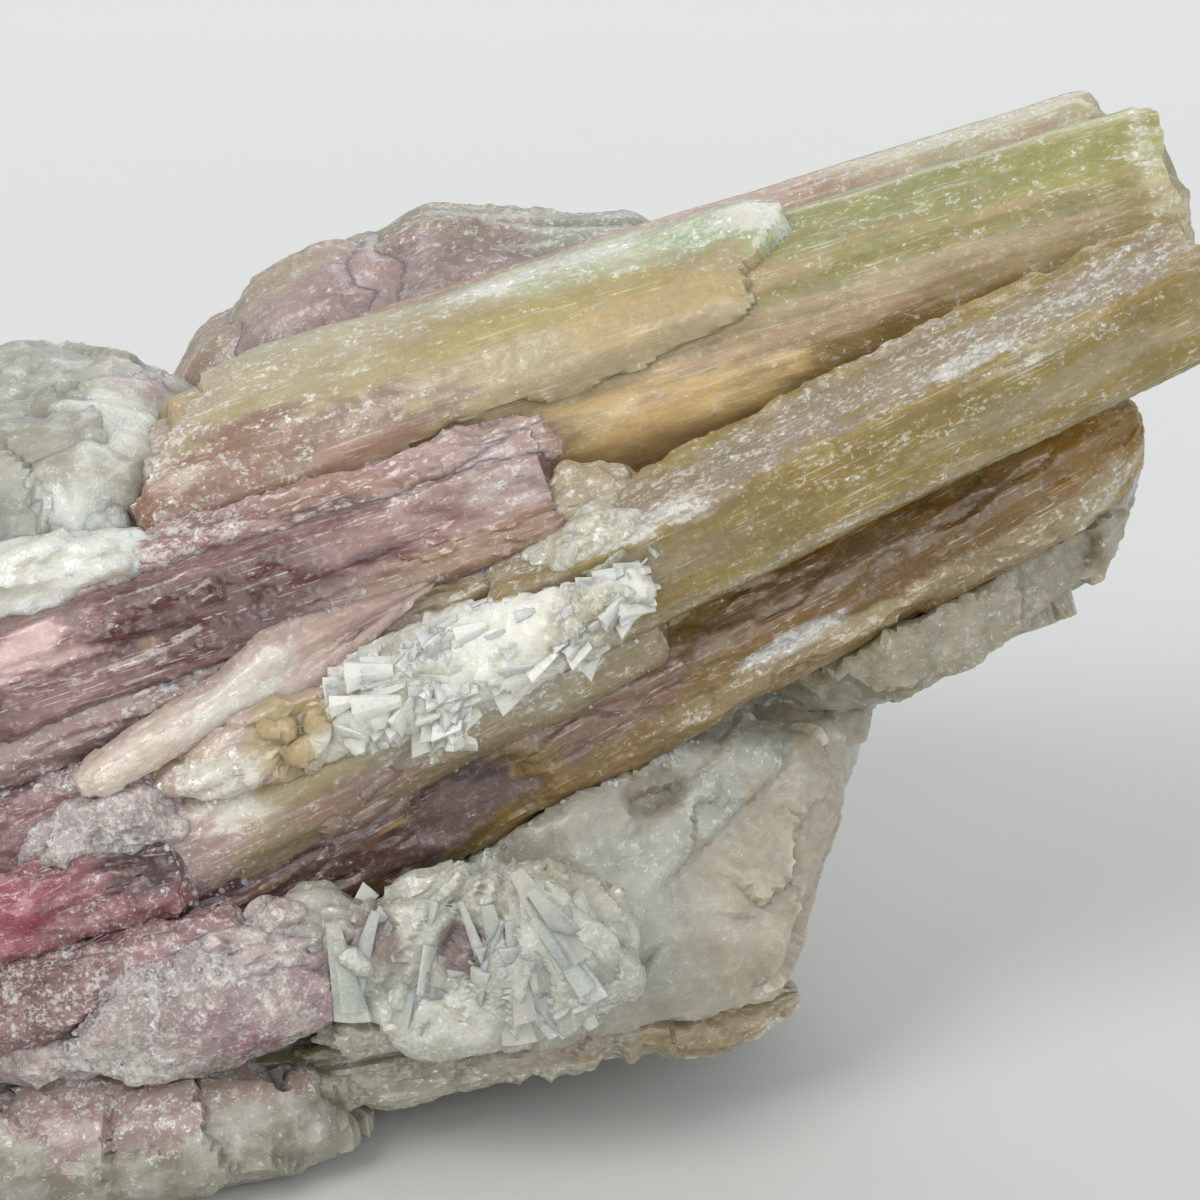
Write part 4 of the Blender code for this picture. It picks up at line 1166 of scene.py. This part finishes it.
for lump in (("lilac_filling", (-24.0, -25.0, 31.0), (8.0, 2.8, 3.2), 18),
             ("pink_filling", (-10.4, -28, 23.4), (3.8, 2.4, 2.2), 30),
             ("low_filling", (-16, -30.2, 20.4), (9.5, 2.6, 3.2), 14),
             ("foot_filling", (-28, -27.5, 13), (10, 3.5, 3), 8)):
    broken_lump(*lump, broken_crust, (lilac_paint, "lepidolite"), LILAC_CRUST)

# ---- Slivers and crumbs --------------------------------------------------------------------------
# Split slivers lie along the pink columns, and crumbs of quartz and feldspar fill the seams where
# crystals meet the stone and each other.
sliver = template("sliver", 5, 0.35, 0.35)
bpy.ops.mesh.primitive_ico_sphere_add(subdivisions=1, radius=0.5)
crumb = plain_object("crumb")


def tree_of(piece):
    """A search tree over the faces of a piece."""
    mesh = piece.data
    return BVHTree.FromPolygons([vert.co.copy() for vert in mesh.vertices],
                                [list(face.vertices) for face in mesh.polygons])


FREE_WAY = 0.06                       # m that light has to travel to a place without a hit
LIGHT_WAYS = ((0, -1, 0.45), (0.3, -0.6, 0.9), (-0.5, -0.6, 0.5), (0, 0.8, 0.6))
MOST_TRIES = 60000


def in_the_open(vert):
    """True if light from the front, the top or the back reaches a point."""
    start = vert.co + vert.normal * 0.6 * MM
    return any(all(search.ray_cast(start, Vector(way), FREE_WAY)[0] is None
                   for search in everything) for way in LIGHT_WAYS)


crystal_trees = {piece.name: tree_of(piece) for piece in (
    green_prism, sleeve, peach_prism, honey_prism, shaded_tan_prism, short_prism, bundle, finger,
    hot_pink, weathered, ledge)}
everything = [*crystal_trees.values(), tree_of(quartz)]
draw = random.Random(29)
rows = []
for ground, count, reach, palette, size in (
        (quartz, 300, 1.0, ((186, 186, 174), (170, 164, 146), (176, 160, 152)), (0.4, 1.3)),
        (bundle, 70, 0.5, (PALE_ROSE, (160, 132, 130), (184, 180, 170)), (0.4, 1.1)),
        (hot_pink, 110, 0.6, (LILAC, (158, 118, 122), (184, 178, 172)), (0.4, 1.2)),
        (crust, 260, 1.2, (LILAC, (166, 126, 130), (186, 178, 174), (176, 150, 150)), (0.35, 1.0)),
        (hot_pink, 200, 1.4, (LILAC, (166, 122, 126), (184, 176, 172), (170, 142, 142)),
         (0.35, 1)),
        (short_prism, 30, 0.6, ((176, 170, 150), (160, 146, 118)), (0.4, 1.0))):
    near = [search for name, search in crystal_trees.items() if name != ground.name]
    tries = 0
    while count > 0 and tries < MOST_TRIES:
        tries += 1
        vert = draw_vertex(draw, ground)
        gaps = (search.find_nearest(vert.co, reach * MM)[3] or 1.0 for search in near)
        if min(gaps) > reach * MM:
            continue
        if not in_the_open(vert) or (ground is quartz and vert.co.x > 0.03):
            continue
        count -= 1
        grain = draw.uniform(*size) * draw.choice((0.6, 0.8, 1.0))
        turn = turned([draw.gauss(0, 1) for _ in range(3)], (1, 0.3, 0.2))
        sizes = (grain * draw.uniform(0.7, 1.6), grain, grain * draw.uniform(0.5, 1.0))
        rows.append((vert.co / MM - vert.normal * 0.15 * grain, turn, sizes,
                     tone(draw.choice(palette)), draw.uniform(0.3, 0.8)))
finish_piece(copies("seam_crumbs", crumb, rows), albite_paint, "milky_quartz")

rows = []
for ground, (foot, tip, *_), count, palette in (
        (bundle, bundle_rows[2], 70, (LILAC, ROSE, PALE_ROSE, MAUVE)),
        (hot_pink, hot_rows[2], 150, (LILAC, ROSE, PALE_ROSE, (186, 174, 172)))):
    along = (Vector(tip) - Vector(foot)).normalized()
    while count > 0:
        vert = draw_vertex(draw, ground)
        if not in_the_open(vert):
            continue
        count -= 1
        turn = turned(along + Vector([draw.gauss(0, 0.10) for _ in range(3)]), vert.normal)
        sizes = (draw.uniform(0.25, 0.7), draw.uniform(0.12, 0.3), draw.uniform(1.0, 3.5))
        rows.append((vert.co / MM, turn, sizes, tone(draw.choice(palette)), draw.uniform(0.3, 0.7)))
finish_piece(copies("split_slivers", sliver, rows), rose_paint, "rubellite")
for spare in (blade, sliver, crumb):
    bpy.data.objects.remove(spare)
